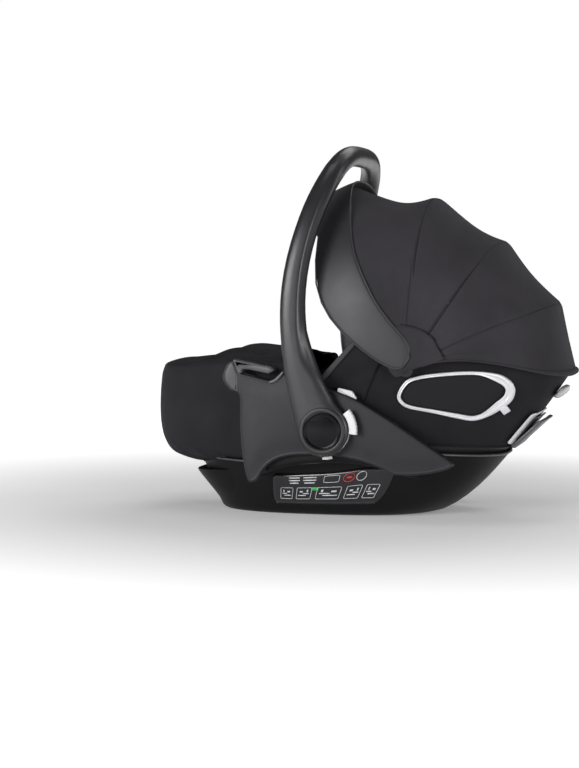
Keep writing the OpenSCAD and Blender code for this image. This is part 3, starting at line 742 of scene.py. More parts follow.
# ---------------------------------------------------------------- visor
# The angle of the visor's rear and front edges at each distance from the pivots' line
VISOR_BACK = [(8, 127), (9.5, 108), (12, 93), (17, 80), (22, 75), (31.7, 79), (44, 89), (56, 98.5),
              (73, 107.5), (102, 113.5), (126, 115.6), (180, 116), (210, 115.3), (240, 113.6), (270, 111.8),
              (320, 110.5)]
VISOR_FRONT = [(8, 130), (9.5, 150), (12, 161), (18, 168), (24, 168.5), (44, 162.5), (69, 156.5),
               (100, 152), (133, 148.3), (162, 144.5), (195, 138.6), (213, 135), (234, 130), (255, 126),
               (320, 124.5)]
VISOR_R = RADII[0] + 4


def visor_point(s, v, out):
    """A point across the visor: v runs from its rear edge, 0, to its front edge, 1."""
    r = VISOR_R * share_at(s)
    return arch(mix(lookup(r, VISOR_BACK), lookup(r, VISOR_FRONT), v), VISOR_R, CLOTH_Y + 3.6, s, out)


def visor():
    """A stiff leatherette band over the canopy's front with a crowned face and a bound edge; the binding's
    lighter shade is a painted highlight.
    """
    radii = [8.2, 9.5, 12, 15, 18, 24, 31, 40, 51, 64, 80, 100, 122, 147, 172, 200, 228, 256]
    ends = [1 - math.asin((r / VISOR_R) ** (ARCH / 2)) / (math.pi / 2) for r in radii]
    ss = [-e for e in ends] + steps(-ends[-1] * 0.94, ends[-1] * 0.94, 22) + ends[::-1]
    vs = steps(0, 1, 14)
    rows = [[visor_point(s, v, 0.9 * (1 - abs(2 * v - 1) ** 3.0)) for s in ss] for v in vs]
    band = skin("visor_band", rows, 2.0, core=(FOLD_X, 0, FOLD_Z))
    fit(band, "front", VISOR, "visor_leatherette", "visor")
    edge = [visor_point(s, 0, -0.9) for s in ss] + [visor_point(s, 1, -0.9) for s in reversed(ss)]
    # The binding is real; its lighter leatherette is a painted highlight along the edge.
    binding = sweep("visor_binding_highlight", edge, 1.35, loop=True, sides=8)
    fit(binding, "front", VISOR_EDGE_HIGHLIGHT, "visor_leatherette")


# ---------------------------------------------------------------- carrying handle
# The arm's two flanks by height over the hub, then its half width and half thickness
LEFT_FLANK = [(-41, 0), (-38, -15.5), (-30, -28), (-15, -38.2), (0, -41.2), (20, -46), (48, -53),
              (92, -62.5), (120, -66), (150, -68.2)]
RIGHT_FLANK = [(-41, 0), (-38, 15.5), (-30, 28), (-15, 38.2), (0, 41), (15, 38.2), (30, 29.5), (44, 18),
               (68, 5.5), (92, -5.5), (120, -16.5), (150, -26.2)]
WIDE = [(100, 23.5), (150, 21), (200, 19.5), (300, 17.5), (400, 17)]
THICK = [(-41, 9.2), (60, 9.4), (150, 10.2), (260, 11.8), (340, 14), (400, 17)]
# The height up to which the flanks shape the arm, and the one at which it meets the grip
FREE_H = 150
JOIN_H = 402
# Half a section, from the foot-side edge over the outer face to the head-side edge: (across, in or out)
FACE = [(-1, 0), (-0.985, -0.35), (-0.9, -0.66), (-0.72, -0.87), (-0.45, -0.97), (-0.2, -1.0),
        (0.06, -0.985), (0.3, -0.955), (0.5, -0.9), (0.72, -0.75), (0.9, -0.5), (0.985, -0.25), (1, 0)]
BACK = [(0.985, 0.3), (0.88, 0.66), (0.68, 0.88), (0.35, 0.98), (0, 1.0), (-0.35, 0.98), (-0.68, 0.88),
        (-0.88, 0.66), (-0.985, 0.3)]


def lean(h):
    """Where the arm's middle is along the seat at the height h, above its free part."""
    u = max(h, 0) / HANDLE_H
    return 12 * u * u - 52 * math.sin(math.pi * u ** 0.9)


def arch_y(h):
    """The arm's distance from the middle of the seat at the height h."""
    return ARM_Y * (1 - (max(h, 0) / HANDLE_H) ** 4) ** (1 / 3.4)


def arm_spot(h):
    if h < FREE_H:
        x = (lookup(h, LEFT_FLANK) + lookup(h, RIGHT_FLANK)) / 2
    else:
        x = lean(h) + (-47.2 - lean(FREE_H)) * (1 - ease((h - FREE_H) / 60))
    return np.array([x, -arch_y(h), HUB_Z + h])


def arm_size(h):
    wide = (lookup(h, RIGHT_FLANK) - lookup(h, LEFT_FLANK)) / 2 if h < FREE_H else lookup(h, WIDE)
    return wide, lookup(h, THICK)


def axes(d):
    """Across the handle, and towards its inside, where it runs in the direction d."""
    w = unit(np.array([1.0, 0, 0]) - d[0] * d)
    return w, np.cross(d, w)


def arm_axes(h):
    """Across the section, and towards the inside. Low sections lie flat and high ones square to the arm."""
    upright = 1 - ease((h - 90) / 120)
    d = unit(arm_spot(h + 1) - arm_spot(h - 1))
    return axes(unit(d * (1 - upright) + np.array([0, 0, 1.0]) * upright))


def petal(h, across):
    """The long bevel along the head-side edge, which opens into a petal above the hub and ends there."""
    start = mix(0.02, 0.42, ease((h - 80) / 130)) + 0.9 * (1 - ease((h - 58) / 60))
    if across <= start:
        return 0.0
    deep = mix(2.4, 4.0, ease((h - 80) / 130)) * ease((h - 56) / 60) * (1 - ease((h - 330) / 60))
    return deep * ease((across - start) / 0.56)


def arm_ring(h, part):
    """The arm's section at the height h, of the points of one of its halves."""
    wide, thick = arm_size(h)
    w, v = arm_axes(h)
    c = arm_spot(h)
    ring = []
    for across, deep in part:
        round_in = ease((h - 340) / 60)
        angle = math.atan2(deep, across)
        across, deep = mix(across, math.cos(angle), round_in), mix(deep, math.sin(angle), round_in)
        cut = petal(h, across) if deep < 0 else 0.0
        ring.append(tuple(c + w * across * wide + v * (deep * thick + cut)))
    return ring


def dense(points):
    return [tuple(p) for p in curve(points, 3, False)]


ARM_STEPS = [-40.9, -40, -38, -34, -28, -21, -13, -5] + list(range(4, 133, 8))
ARM_STEPS += [142, 154, 168, 184, 202, 222, 244, 266, 288, 308, 326, 342, 356, 368, 379, 388, 395, JOIN_H]


def arm_outer(side):
    """The outer casing: one moulding from the hub's round end to the grip."""
    face = dense(FACE)
    rings = []
    for h in ARM_STEPS:
        outer = arm_ring(h, face)
        inner = arm_ring(h, [(a, 0.04) for a, _ in reversed(face[4:-4])])
        rings.append(outer + inner)
    obj = loft(f"handle_shell_{side}", rings, side, crisp=60)
    return fit(obj, "handle", HANDLE, "handle_plastic", f"handle_outer_{side}", f"hub_{side}")


def arm_inner(side):
    """The inner casing, a shade darker, with the parting line between the two."""
    back = dense([(1, 0.06)] + BACK + [(-1, 0.06)])
    rings = []
    for h in (h for h in ARM_STEPS if h > 8):
        outer = arm_ring(h, back)
        inner = arm_ring(h, [(a, 0.06) for a, _ in reversed(back[3:-3])])
        rings.append(outer + inner)
    obj = loft(f"handle_liner_{side}", rings, side, crisp=60)
    return fit(obj, "handle", HUB, "handle_plastic", f"handle_inner_{side}")


def grip():
    """The soft grip over the top of the handle, flush with the arms."""
    end = arch_y(JOIN_H)
    path = []
    for i in range(61):
        y = -end * math.cos(math.pi * i / 60)
        h = HANDLE_H * (1 - (abs(y) / ARM_Y) ** 3.4) ** 0.25
        path.append(np.array([arm_spot(h)[0], y, HUB_Z + h]))
    rings = []
    for i, c in enumerate(path):
        w, v = axes(unit(path[min(i + 1, 60)] - path[max(i - 1, 0)]))
        share = abs(c[1]) / end
        r = GRIP_R - 0.4 * ease((1 - share) * 9)
        rings.append([tuple(c + r * (w * math.cos(k) + v * math.sin(k)))
                      for k in (2 * math.pi * j / 32 for j in range(32))])
    return fit(loft("handle_grip_sleeve", rings, crisp=60), "handle", GRIP, "grip_rubber", "handle_grip")


def hub_trim(side):
    """The dark ring round the cap and the glossy cap itself, dished and plain."""
    section = [(36.5, -6), (36.5, -0.9), (35.6, -0.1), (31.6, 0.2), (30.6, -0.3), (30.2, -2.5),
               (20, -2.8), (20, -6)]
    ring = spin(f"hub_ring_{side}", [(r, HUB_OUT + out) for r, out in section], side=side)
    fit(ring, "handle", HUB, "handle_plastic")
    path = [(40.7 * math.cos(a), -(WING_OUT + 3.3), HUB_Z + 40.7 * math.sin(a)) for a in
            (math.pi * k / 40 for k in range(80))]
    fit(sweep(f"hub_seal_{side}", path, 1.3, side, True, sides=8), "handle", HUB, "handle_plastic")
    section = [(29.6, -3.6), (29.6, -1.0), (29.2, -0.3), (28.3, 0), (27.4, -0.1), (26.8, -0.7), (24, -0.5),
               (14, 0.1), (4, 0.4), (0.4, 0.42)]
    edge = HUB_OUT + 0.9
    cap = spin(f"hub_cap_{side}", [(r, edge + out) for r, out in section], side=side, count=96)
    return fit(cap, "handle", INK_GLOSS, "gloss_black", "hub_caps")


# ---------------------------------------------------------------- shell, rocker base and labels
AROUND = 112


def ring_of(form, t, off, z_off=0.0):
    return [(x, y, z + z_off) for x, y, z in (form(t, off, 360 * j / AROUND) for j in range(AROUND))]


def shell():
    """The moulded shell with a rolled rim."""
    up = [0, 0.02, 0.05, 0.1, 0.17, 0.26, 0.37, 0.5, 0.64, 0.78, 0.9, 0.985, 1]
    outer = [ring_of(shell_point, t, 0) for t in up]
    outer[0] = ring_of(shell_point, 0, -5)
    rim = [ring_of(shell_point, 1, -0.8, 1.2), ring_of(shell_point, 1, -2.2, 1.2)]
    inner = [ring_of(shell_point, t, -3) for t in reversed(up)]
    fit(loft("shell_moulding", outer + rim + inner), "seat", SHELL, "shell_plastic", "shell")


def base_ring(t, inward, z_off=0.0):
    ring = (base_point(t, 360 * j / AROUND, inward) for j in range(AROUND))
    return [(x, y, max(z + z_off, 0)) for x, y, z in ring]


def rocker_base():
    """The base: a shallow tub with a rounded foot, a rolled rim and a stepped side."""
    rings = [base_ring(0, 9), base_ring(0, 3.5, 0.6), base_ring(0.004, 1.2, 1.0), base_ring(0.02, 0)]
    rings += [base_ring(t, 0) for t in (0.05, 0.09, 0.14, 0.19, 0.24, 0.29, 0.33)]
    rings += [base_ring(0.345, -1.2), base_ring(0.355, -1.4), base_ring(0.36, -0.6, 0.8)]
    rings += [base_ring(0.36, 1.4, 1.2), base_ring(0.355, 3.2)]
    rings += [base_ring(t, 3.2) for t in (0.3, 0.2, 0.1, 0.03)]
    rings.append([(x, y, 3.2) for x, y, _ in base_ring(0, 9)])
    tub = loft("rocker_tub", rings)
    fit(tub, "seat", BASE, "shell_plastic", "rocker_base")
    path = [base_point(0.352, a, -1.2) for a in steps(0, 360, AROUND)[:-1]]
    fit(sweep("rocker_rim_bead", path, 1.6, loop=True, sides=8), "seat", GUIDE, "shell_plastic")


def base_ribs():
    """The bosses in the base that the shell is screwed to."""
    for n, x in enumerate((-120, -30, 60)):
        outline = rounded([(x - 8, 2.2), (x + 8, 2.2), (x + 6, 11.6), (x - 6, 11.6)], 2)
        rings = [[(p[0], y, p[1]) for p in outline] for y in (-85, 85)]
        fit(loft(f"base_rib_{n}", rings), "seat", BASE, "shell_plastic")


# The label's span up the base and round it, and the marks in each of its frames: (offsets, width, height)
LABEL_T = (0.075, 0.285)
LABEL_A = (251, 289)
STROKES = [(-0.022, 0.05, 0.028, 0.05), (0.02, -0.01, 0.05, 0.03), (-0.012, -0.07, 0.07, 0.03),
           (0.03, 0.07, 0.012, 0.08)]


def label_point(u, v, off):
    """A point of the label panel: u from the foot end to the head end, v up."""
    return base_point(mix(*LABEL_T, v), mix(*LABEL_A, u), -off)


def label_mark(name, u, v, w, h, look, side, lift=2.9):
    """A small raised mark w by h on the label, with its centre at (u, v)."""
    rows = [[label_point(u + w * across, v + h * up, lift) for across in steps(-0.5, 0.5, 3)]
            for up in steps(-0.5, 0.5, 2)]
    obj = open_grid(name, rows, side)
    thicken(obj, 0.25)
    return fit(obj, "seat", look, "label_gloss")


def label_frame(name, u, v, w, h, look, side):
    """An empty rounded frame, in place of a printed picture."""
    corners = [(u + w * a / 2, v + h * b / 2) for a, b in ((-1, -1), (1, -1), (1, 1), (-1, 1))]
    outline = rounded(corners, 0.02, 3)
    path = [label_point(p[0], p[1], 2.9) for p in outline]
    return fit(sweep(name, path, 0.45, side, loop=True, sides=6), "seat", look, "label_gloss")


def label_ring(name, u, v, r, look, side):
    path = [label_point(u + r * 0.33 * math.cos(k), v + r * math.sin(k), 2.9)
            for k in (2 * math.pi * i / 20 for i in range(20))]
    return fit(sweep(name, path, 0.6, side, loop=True, sides=6), "seat", look, "label_gloss")


def label(side):
    """A glossy panel with plain bars, frames and rings where instructions would be printed."""
    rows = []
    for v in steps(0, 1, 10):
        pinch = 0.05 * abs(2 * v - 1) ** 4
        rows.append([label_point(mix(pinch, 1 - pinch, u), v, 0.9 + 1.7 * (1 - abs(2 * u - 1) ** 14) *
                                 (1 - abs(2 * v - 1) ** 8)) for u in steps(0, 1, 30)])
    panel = open_grid(f"label_panel_face_{side}", rows, side)
    thicken(panel, 0.6)
    fit(panel, "seat", LABEL, "label_gloss", f"label_panel_{side}")
    for n in range(2):
        for k in range(3):
            label_mark(f"label_bar_{n}_{k}_{side}", 0.24 + 0.13 * n, 0.86 - 0.085 * k, 0.1 - 0.018 * (k == 2),
                       0.035, PRINT_WHITE, side)
    for n in range(5):
        label_frame(f"label_frame_{n}_{side}", 0.17 + 0.165 * n, 0.36, 0.125, 0.36, PRINT_WHITE, side)
        turn = 1 if n % 2 else -1
        for k, (du, dv, w, h) in enumerate(STROKES):
            label_mark(f"label_stroke_{n}_{k}_{side}", 0.17 + 0.165 * n + du * turn, 0.36 + dv, w, h,
                       PRINT_WHITE, side)
    label_frame(f"label_frame_book_{side}", 0.50, 0.79, 0.065, 0.2, PRINT_WHITE, side)
    label_ring(f"label_ring_red_{side}", 0.595, 0.79, 0.12, PRINT_RED, side)
    label_mark(f"label_dash_red_{side}", 0.595, 0.79, 0.035, 0.05, PRINT_RED, side)
    label_ring(f"label_ring_white_{side}", 0.69, 0.79, 0.12, PRINT_WHITE, side)
    label_mark(f"label_dash_green_{side}", 0.42, 0.5, 0.05, 0.1, PRINT_GREEN, side, 3.1)


def arch_edge(x):
    """The height of the arch that frames the label."""
    return 58 + 34 * max(1 - abs((x - 8) / 140) ** 2.4, 0)


def arch_trim(side):
    """The moulded arch over the label: a rounded lip, then a face that runs up behind the wing."""
    rows = []
    section = [(2.0, 0), (-0.6, 0.1), (-1.8, 0.4), (-2.0, 0.7), (-1.4, 0.88), (0.6, 0.97), (4, 1),
               (11, 1), (20, 1)]
    for d, share in section:
        row = []
        for x in steps(-124, 142, 64):
            z = arch_edge(x)
            reach = share * ease((x + 124) / 26) * ease((142 - x) / 34)
            row.append((x, -mix(side_y(x, z, 8), WING_IN - 6.5, reach), z + d))
        rows.append(row)
    obj = skin(f"arch_trim_{side}", rows, 1.6, side)
    return fit(obj, "seat", BASE, "shell_plastic")


# ---------------------------------------------------------------- side wings and belt guides
# The wing's outline in the side view, clockwise from the belt guide, and where the guide's bar ends
BAR_END = -84
GUIDE_LEFT = [(-140, 196), (-155, 204), (-166, 218), (-167, 232), (-160, 246), (-150, 251.5)]
SLOT = [(-142, 250), (-138, 240), (-136, 232), (-129, 229.5), (-108, 224.5), (-90, 220.5), (-82, 221)]
TOP = [(-76, 228), (-68, 234), (-60, 230), (-30, 221), (6, 208), (48, 192), (90, 168), (120, 149.5),
       (153, 128), (180, 110.5), (194, 101.5), (201, 95), (199, 90)]
LOW = [(185, 84), (150, 77), (109, 76), (90, 85), (60, 95), (35, 100.5), (0, 104.5), (-34, 104),
       (-61, 101.5), (-84, 93.5), (-100, 80), (-110, 64), (-119, 59), (-127, 63), (-135, 100), (-139, 150)]


def wing(side):
    """The side wing: a hollow moulding with a rolled edge, a long flat face and a turned-in rim."""
    outline = curve(GUIDE_LEFT + SLOT + TOP + LOW, 4)
    face, back = WING_OUT, WING_IN - 8
    levels = [(0.6, back), (0, back + 4), (0, face - 3.2), (0.5, face - 1.6), (1.6, face - 0.5),
              (3.0, face - 0.1), (4.2, face - 0.5), (5.4, face - 0.55)]
    hollow = [(5.4, face - 3.2), (2.6, face - 4.4), (2.6, back)]
    obj = plate(f"wing_moulding_{side}", outline, levels, side, hollow, crown=2.2)
    return fit(obj, "seat", WING, "shell_plastic", f"wing_{side}")


def belt_guide(side):
    """The gloss guide that the lap belt slides under, and the lip that stops it at the other end."""
    bracket = rounded([(-149, 253.5), (BAR_END - 3, 241.8), (BAR_END + 4, 237), (BAR_END - 6, 231),
                       (-124, 237.5), (-133, 237.5), (-134, 231.5), (-140, 230)], 3)
    levels = [(1.6, WING_IN - 5), (0.3, WING_IN - 3.5), (0, WING_OUT + 3.4), (0.5, WING_OUT + 5),
              (1.7, WING_OUT + 6.1), (3.0, WING_OUT + 6.4)]
    bar = plate(f"belt_guide_bar_{side}", bracket, levels, side, crown=0.3)
    fit(bar, "seat", GUIDE, "shell_plastic")
    spots = ((-146, 251.4), (-125, 247.6), (-104, 243.8), (BAR_END - 5, 240.2))
    ridge = curve([(x, -(WING_OUT + 5.6), z) for x, z in spots], 4, False)
    cord(f"belt_guide_ridge_{side}", ridge, 1.3, "shell_plastic", side, LOBE)
    lobe = rounded([(-141, 200), (-153, 207), (-163, 219), (-164, 232), (-157, 245), (-149, 250),
                    (-143, 231)], 5)
    levels = [(2, WING_OUT - 1), (0.6, WING_OUT + 0.4), (1.4, WING_OUT + 1.0), (3, WING_OUT + 1.2)]
    fit(plate(f"belt_guide_lobe_{side}", lobe, levels, side, crown=1.5), "seat", LOBE, "shell_plastic")
    lip = [(-91, -(WING_OUT + 0.6), 217.5), (-82, -(WING_OUT + 1.0), 220), (-74, -(WING_OUT + 1.2), 226.5),
           (-66.5, -(WING_OUT + 1.0), 235)]
    obj = sweep(f"belt_guide_lip_{side}", curve(lip, 5, False), lambda t: 2.4 - 0.8 * abs(2 * t - 1) ** 3,
                side, sides=12, flat=1.2)
    return fit(obj, "seat", GUIDE, "shell_plastic")


# ---------------------------------------------------------------- cover of the head end and the rim
def head_cover():
    """The jersey cover pulled over the head end, with a vertical seam on each side and drag lines."""
    rows = []
    for t in [0.42, 0.428] + steps(0.46, 0.985, 15):
        row = []
        for a in steps(-99, 99, 230):
            x = shell_point(t, 0, a)[0]
            seam_x = mix(42, 76, ease((t - 0.42) / 0.56))
            seam = -1.2 * hump(x, seam_x + 3, 4)
            drag = 0.9 * math.sin(0.11 * x + 9 * t) * hump(abs(a), 60, 50) * hump(t, 0.8, 0.25)
            drag += 0.5 * math.sin(0.23 * x - 14 * t) * hump(t, 0.5, 0.12)
            row.append(shell_point(t, 3.2 + seam + drag, a))
        rows.append(row)
    obj = skin("head_cover_cloth", rows, 2.0)
    lay_out(obj, "stretched", "shell_moulding")
    # The cover's jersey is its own dark tone with painted shade from the wing's top edge.
    fit(obj, "seat", COVER, "canopy_fabric", "head_cover")
    hem = [shell_point(0.424, 3.4, a) for a in steps(-99, 99, 110)]
    cord("head_cover_hem", hem, 2.0)


CHEEK_FRONT = [(176, -40), (219, -20), (228, -9), (279, 38), (290, 60)]
CHEEK_SEAM = [(176, 49), (193, 56), (241, 76), (262, 90), (290, 104)]


def cheek_point(v, u, lift):
    """A point on the liner's side: v upwards, u from its taped front edge to the seam."""
    z = mix(176, 288, v)
    x = mix(lookup(z, CHEEK_FRONT), lookup(z, CHEEK_SEAM), u)
    low = side_y(x, min(z, rim_z(x) - 1), 5.4)
    return (x, -(mix(low, 188.4, ease((z - rim_z(x) + 30) / 40)) + lift), z)


def cheek(side):
    """The liner's side, which rises from the rim before the canopy's pivot and ends in a taped edge."""
    def lift(u, v):
        return 1.2 * hump(u, 1, 0.12) + 0.9 * math.sin(5 * u + 4 * v) * math.sin(math.pi * u)

    rows = [[cheek_point(v, u, lift(u, v)) for u in steps(0, 1, 24)] for v in steps(0, 1, 30)]
    obj = skin(f"cheek_cloth_{side}", rows, 1.8, side)
    lay_out(obj, "stretched", "head_cover_cloth")
    # The cover's jersey, with its painted shade from the wing's top edge.
    fit(obj, "seat", COVER, "canopy_fabric")
    band = [[cheek_point(v, u, high) for v in steps(0.3, 0.98, 30)]
            for u, high in ((-0.01, 0.2), (0.0, 1.5), (0.06, 1.8), (0.13, 1.5), (0.15, 0.1))]
    tape = skin(f"cheek_tape_{side}", band, 0.9, side)
    lay_out(tape, "laid", f"cheek_cloth_{side}")
    fit(tape, "seat", TAPE, "canopy_fabric")
    line = [cheek_point(v, 0.165, 0.7) for v in steps(0.3, 0.98, 30)]
    cord(f"cheek_stitch_{side}", line, 0.9, side=side)
    seam = [cheek_point(v, 1.0, 0.4) for v in steps(0.02, 0.98, 30)]
    cord(f"cheek_seam_{side}", seam, 0.9, side=side)


def rim_binding():
    """The soft roll that closes the liner over the shell's rim."""
    path = []
    for j in range(150):
        x, y, z = shell_point(1, -4.5, 360 * j / 150)
        path.append((x, y, z + 2.2 + 0.5 * math.sin(j * 1.9)))
    fit(sweep("rim_binding", path, 6.2, loop=True, sides=12), "seat", LINER, "liner_fabric")


def base_lip():
    """The hand lip at the base's foot end, under the foot cover: a tray with a raised edge."""
    rows = []
    for out, height in ((0.3, 12), (2, 20), (6, 30), (11, 42), (16, 53), (18.6, 60), (19, 63), (17.4, 64)):
        row = []
        for a in steps(128, 232, 50):
            wall = [base_point(t, a, 1) for t in steps(0, 0.6, 60)]
            x, y, _ = min(wall, key=lambda p: abs(p[2] - height))
            bend = abs((a - 180) / 52)
            share = math.sqrt(max(0.0, 1 - bend ** 4))
            row.append((x - out * share, y, height + 6 * bend ** 2 * height / 64))
        rows.append(row)
    obj = skin("base_lip", rows, 2.6, core=(-100, 0, 0))
    fit(obj, "seat", BASE, "shell_plastic")


# ---------------------------------------------------------------- soft pieces blown up by cloth simulation
def as_blob(name, points, faces, voxel, side="left"):
    """A closed form remeshed into even voxels, ready for the cloth simulation."""
    obj = piece(name, points, faces, side)
    modify(obj, "voxels", "REMESH", mode="VOXEL", voxel_size=voxel * MM, use_smooth_shade=True)
    return bake_modifiers(obj)


def bake_modifiers(obj):
    """Replaces the mesh with what its modifiers make of it."""
    graph = bpy.context.evaluated_depsgraph_get()
    mesh = bpy.data.meshes.new_from_object(obj.evaluated_get(graph))
    obj.modifiers.clear()
    obj.data = mesh
    return obj


# The settings of the cloth simulation that do not change from piece to piece
CLOTH = {"quality": 5, "mass": 0.15, "tension_stiffness": 14, "compression_stiffness": 14,
         "shear_stiffness": 5, "bending_stiffness": 0.6, "use_pressure": True}


def puff(obj, pressure, cap, frames=20):
    """Inflates a blob as a sewn cushion, moves no point by more than cap, and smooths it."""
    rest = np.array([v.co for v in obj.data.vertices])
    cloth = obj.modifiers.new("cloth", "CLOTH")
    for key, value in CLOTH.items():
        setattr(cloth.settings, key, value)
    cloth.settings.uniform_pressure_force = pressure
    cloth.settings.effector_weights.gravity = 0
    cloth.point_cache.frame_start = 1
    cloth.point_cache.frame_end = frames
    for frame_number in range(1, frames + 1):
        bpy.context.scene.frame_set(frame_number)
    bake_modifiers(obj)
    bpy.context.scene.frame_set(1)
    moved = np.array([v.co for v in obj.data.vertices]) - rest
    far = np.linalg.norm(moved, axis=1, keepdims=True)
    kept = rest + moved * np.minimum(1, cap * MM / np.maximum(far, 1e-9))
    obj.data.vertices.foreach_set("co", kept.astype(np.float32).ravel())
    for face in obj.data.polygons:
        face.use_smooth = True
    return bake_modifiers(modify(obj, "relax", "SMOOTH", factor=0.5, iterations=3))


def sewn(obj, path, lift=-0.2):
    """The path moved onto the surface of a padded piece, as a seam lies on it."""
    surface = BVHTree.FromObject(obj, bpy.context.evaluated_depsgraph_get())
    laid = []
    for p in path:
        spot, normal, _, _ = surface.find_nearest(Vector(place(p)))
        spot = spot / MM + normal * lift
        laid.append((spot.x - HUB_X, spot.y, spot.z))
    return laid


def slab_mesh(outer, inner):
    """Points and faces of a closed slab between two grids."""
    m, n = len(outer), len(outer[0])
    points = [p for r in outer for p in r] + [p for r in inner for p in r]
    k = m * n
    faces = grid_faces(m, n, False) + [tuple(k + i for i in reversed(f)) for f in grid_faces(m, n, False)]
    border = [(0, j) for j in range(n)] + [(i, n - 1) for i in range(1, m)]
    border += [(m - 1, j) for j in range(n - 2, -1, -1)] + [(i, 0) for i in range(m - 2, 0, -1)]
    ids = [i * n + j for i, j in border]
    for a, b in zip(ids, ids[1:] + ids[:1]):
        faces.append((b, a, k + a, k + b))
    return points, faces


def seat_blob(name, t0, t1, a0, a1, low, high, channels=(), rows=22, cols=90, voxel=4.5, round_off=0.9):
    """A cushion on the seat between two levels and two angles, with sewn channels at the given angles."""
    def grid(off):
        made = []
        for i in range(rows + 1):
            v = i / rows
            line = []
            for j in range(cols + 1):
                u = j / cols
                a = mix(a0, a1, u)
                edge = (1 - abs(2 * u - 1) ** 12) * (1 - abs(2 * v - 1) ** 6)
                pinch = max([hump(a, c, 5) for c in channels] or [0])
                middle_off = (low + high) / 2
                share = round_off * edge + (1 - round_off) - 0.45 * pinch
                inner = mix(middle_off, off, max(share, 0.5))
                tt = mix(t0, t1, v) - 0.02 * (abs(2 * u - 1) ** 6) * (2 * v - 1)
                line.append(seat_point(tt, inner, a))
            made.append(line)
        return made
    return as_blob(name, *slab_mesh(grid(low), grid(high)), voxel)


def newborn_insert():
    """The washable insert: a padded liner with sewn channels and a welted edge."""
    obj = seat_blob("newborn_insert_cushion", 0.05, 0.86, -98, 98, -4.4, -14.0, (-66, -33, 0, 33, 66))
    subdivide(puff(obj, 3.0, 5))
    fit(obj, "seat", INSERT, "insert_fabric", "newborn_insert")
    welt = [seat_point(0.86, -9.4, a) for a in steps(-96, 96, 100)]
    cord("insert_welt", welt, 2.2, "insert_fabric")
    for n, a in enumerate((-66, -33, 0, 33, 66)):
        line = sewn(obj, [seat_point(t, -20, a) for t in steps(0.12, 0.7, 30)])
        cord(f"insert_seam_{n}", line, 0.9, "insert_fabric", sides=6)


def head_support():
    """The horseshoe cushion round the infant's head."""
    rows = []
    for a in steps(-63, 63, 60):
        ring = []
        thick = 8.6 - 2.4 * hump(a, 0, 22) + 0.8 * hump(abs(a), 45, 16)
        for k in range(16):
            q = 2 * math.pi * k / 16
            close = min(1, math.sqrt(max(0.0, 1 - (abs(a) / 64.5) ** 10)) + 0.12)
            t = 0.75 + 0.14 * close * math.sin(q)
            ring.append(seat_point(t, -24.5 - thick * close * math.cos(q), a))
        rows.append(ring)
    n = 16
    faces = grid_faces(len(rows), n, True)
    faces += [tuple(range(n)), tuple(range((len(rows) - 1) * n, len(rows) * n))]
    obj = as_blob("head_support_cushion", [p for r in rows for p in r], faces, 4.5)
    subdivide(puff(obj, 4.0, 6))
    fit(obj, "seat", INSERT, "insert_fabric", "head_support")
    seam = sewn(obj, [seat_point(0.75, -48, a) for a in steps(-56, 56, 60)])
    cord("head_support_seam", seam, 1.1, "insert_fabric", sides=6)


def seat_pad():
    """The padded liner of the seat: pillowed panels between sewn channels."""
    channels = (-150, -118, -88, -58, -28, 28, 58, 88, 118, 150)
    ts = [0, 0.03, 0.08] + steps(0.13, 0.97, 22) + [1]

    def inner(t, a):
        pinch = max(hump((a + 180) % 360 - 180, c, 7) for c in channels)
        band = hump(t, 0.5, 0.035)
        swell = 2.4 * hump(t, 0.28, 0.3) + 2.4 * hump(t, 0.75, 0.3)
        return -0.4 - swell * (1 - pinch) + 1.2 * pinch + 0.8 * band

    angles = [360 * j / 180 for j in range(180)]
    outer_rings = [[seat_point(t, 9.5, a) for a in angles] for t in ts]
    inner_rings = [[seat_point(t, inner(t, a), a) for a in angles] for t in reversed(ts)]
    lip = [[(x, y, z + 1.5) for x, y, z in (seat_point(1, 5.5, a) for a in angles)]]
    obj = loft("seat_pad_cushion", outer_rings + lip + inner_rings)
    fit(obj, "seat", LINER, "liner_fabric", "seat_pad")


# ---------------------------------------------------------------- foot cover
# Half of the angle round the plan that the cover wraps, and where its mouth is
MUFF_A = 80
MUFF_EDGE = -84
# The foot end's reach, how far the sides tuck in, and the height, from the gathered edge to the shoulder
MUFF_WALL = [(0, -247, -14, 76), (0.05, -265, -9, 78), (0.12, -288, -4, 85), (0.2, -302, -1, 92),
             (0.28, -311, 1, 102), (0.38, -317.5, 3, 118), (0.5, -320.5, 4, 140), (0.65, -321.5, 4, 168),
             (0.8, -321, 3, 198), (0.92, -319, 2, 222), (1, -314, -1, 238)]
# The height from the shoulder to the mouth, in the middle and at the sides
MUFF_RIDGE = [(0, 238), (0.06, 245), (0.14, 247), (0.3, 247), (0.38, 253), (0.5, 264), (0.62, 268),
              (0.8, 267), (1, 262)]
MUFF_SIDE = [(0, 240), (0.06, 247), (0.2, 251), (0.5, 252), (1, 243)]


def muff_wall(v, s, off):
    reach, tuck, z = (lookup(v, [(row[0], row[n]) for row in MUFF_WALL]) for n in (1, 2, 3))
    z += 18 * (1 - v) * abs(s) ** 2
    t = (z - FLOOR_Z) / (235 - FLOOR_Z)
    x, y = plan_point(reach - off, head_x(t) + 7, half_w(t) + 7 + tuck + off, 180 + MUFF_A * s)
    return (x, y, z)


def muff_point(v, s, off):
    """v runs from the gathered lower edge, 0, over the shoulder at 0.5 to the mouth at 1."""
    if v < 0.5:
        return muff_wall(v * 2, s, off)
    u = v * 2 - 1
    x, y, _ = muff_wall(1, s, off)
    z = mix(lookup(u, MUFF_RIDGE), lookup(u, MUFF_SIDE), abs(s) ** 1.6)
    return (mix(x, MUFF_EDGE, u), mix(y, -150 * math.sin(math.pi / 2 * s), ease(u)), z + off * ease(u * 8))


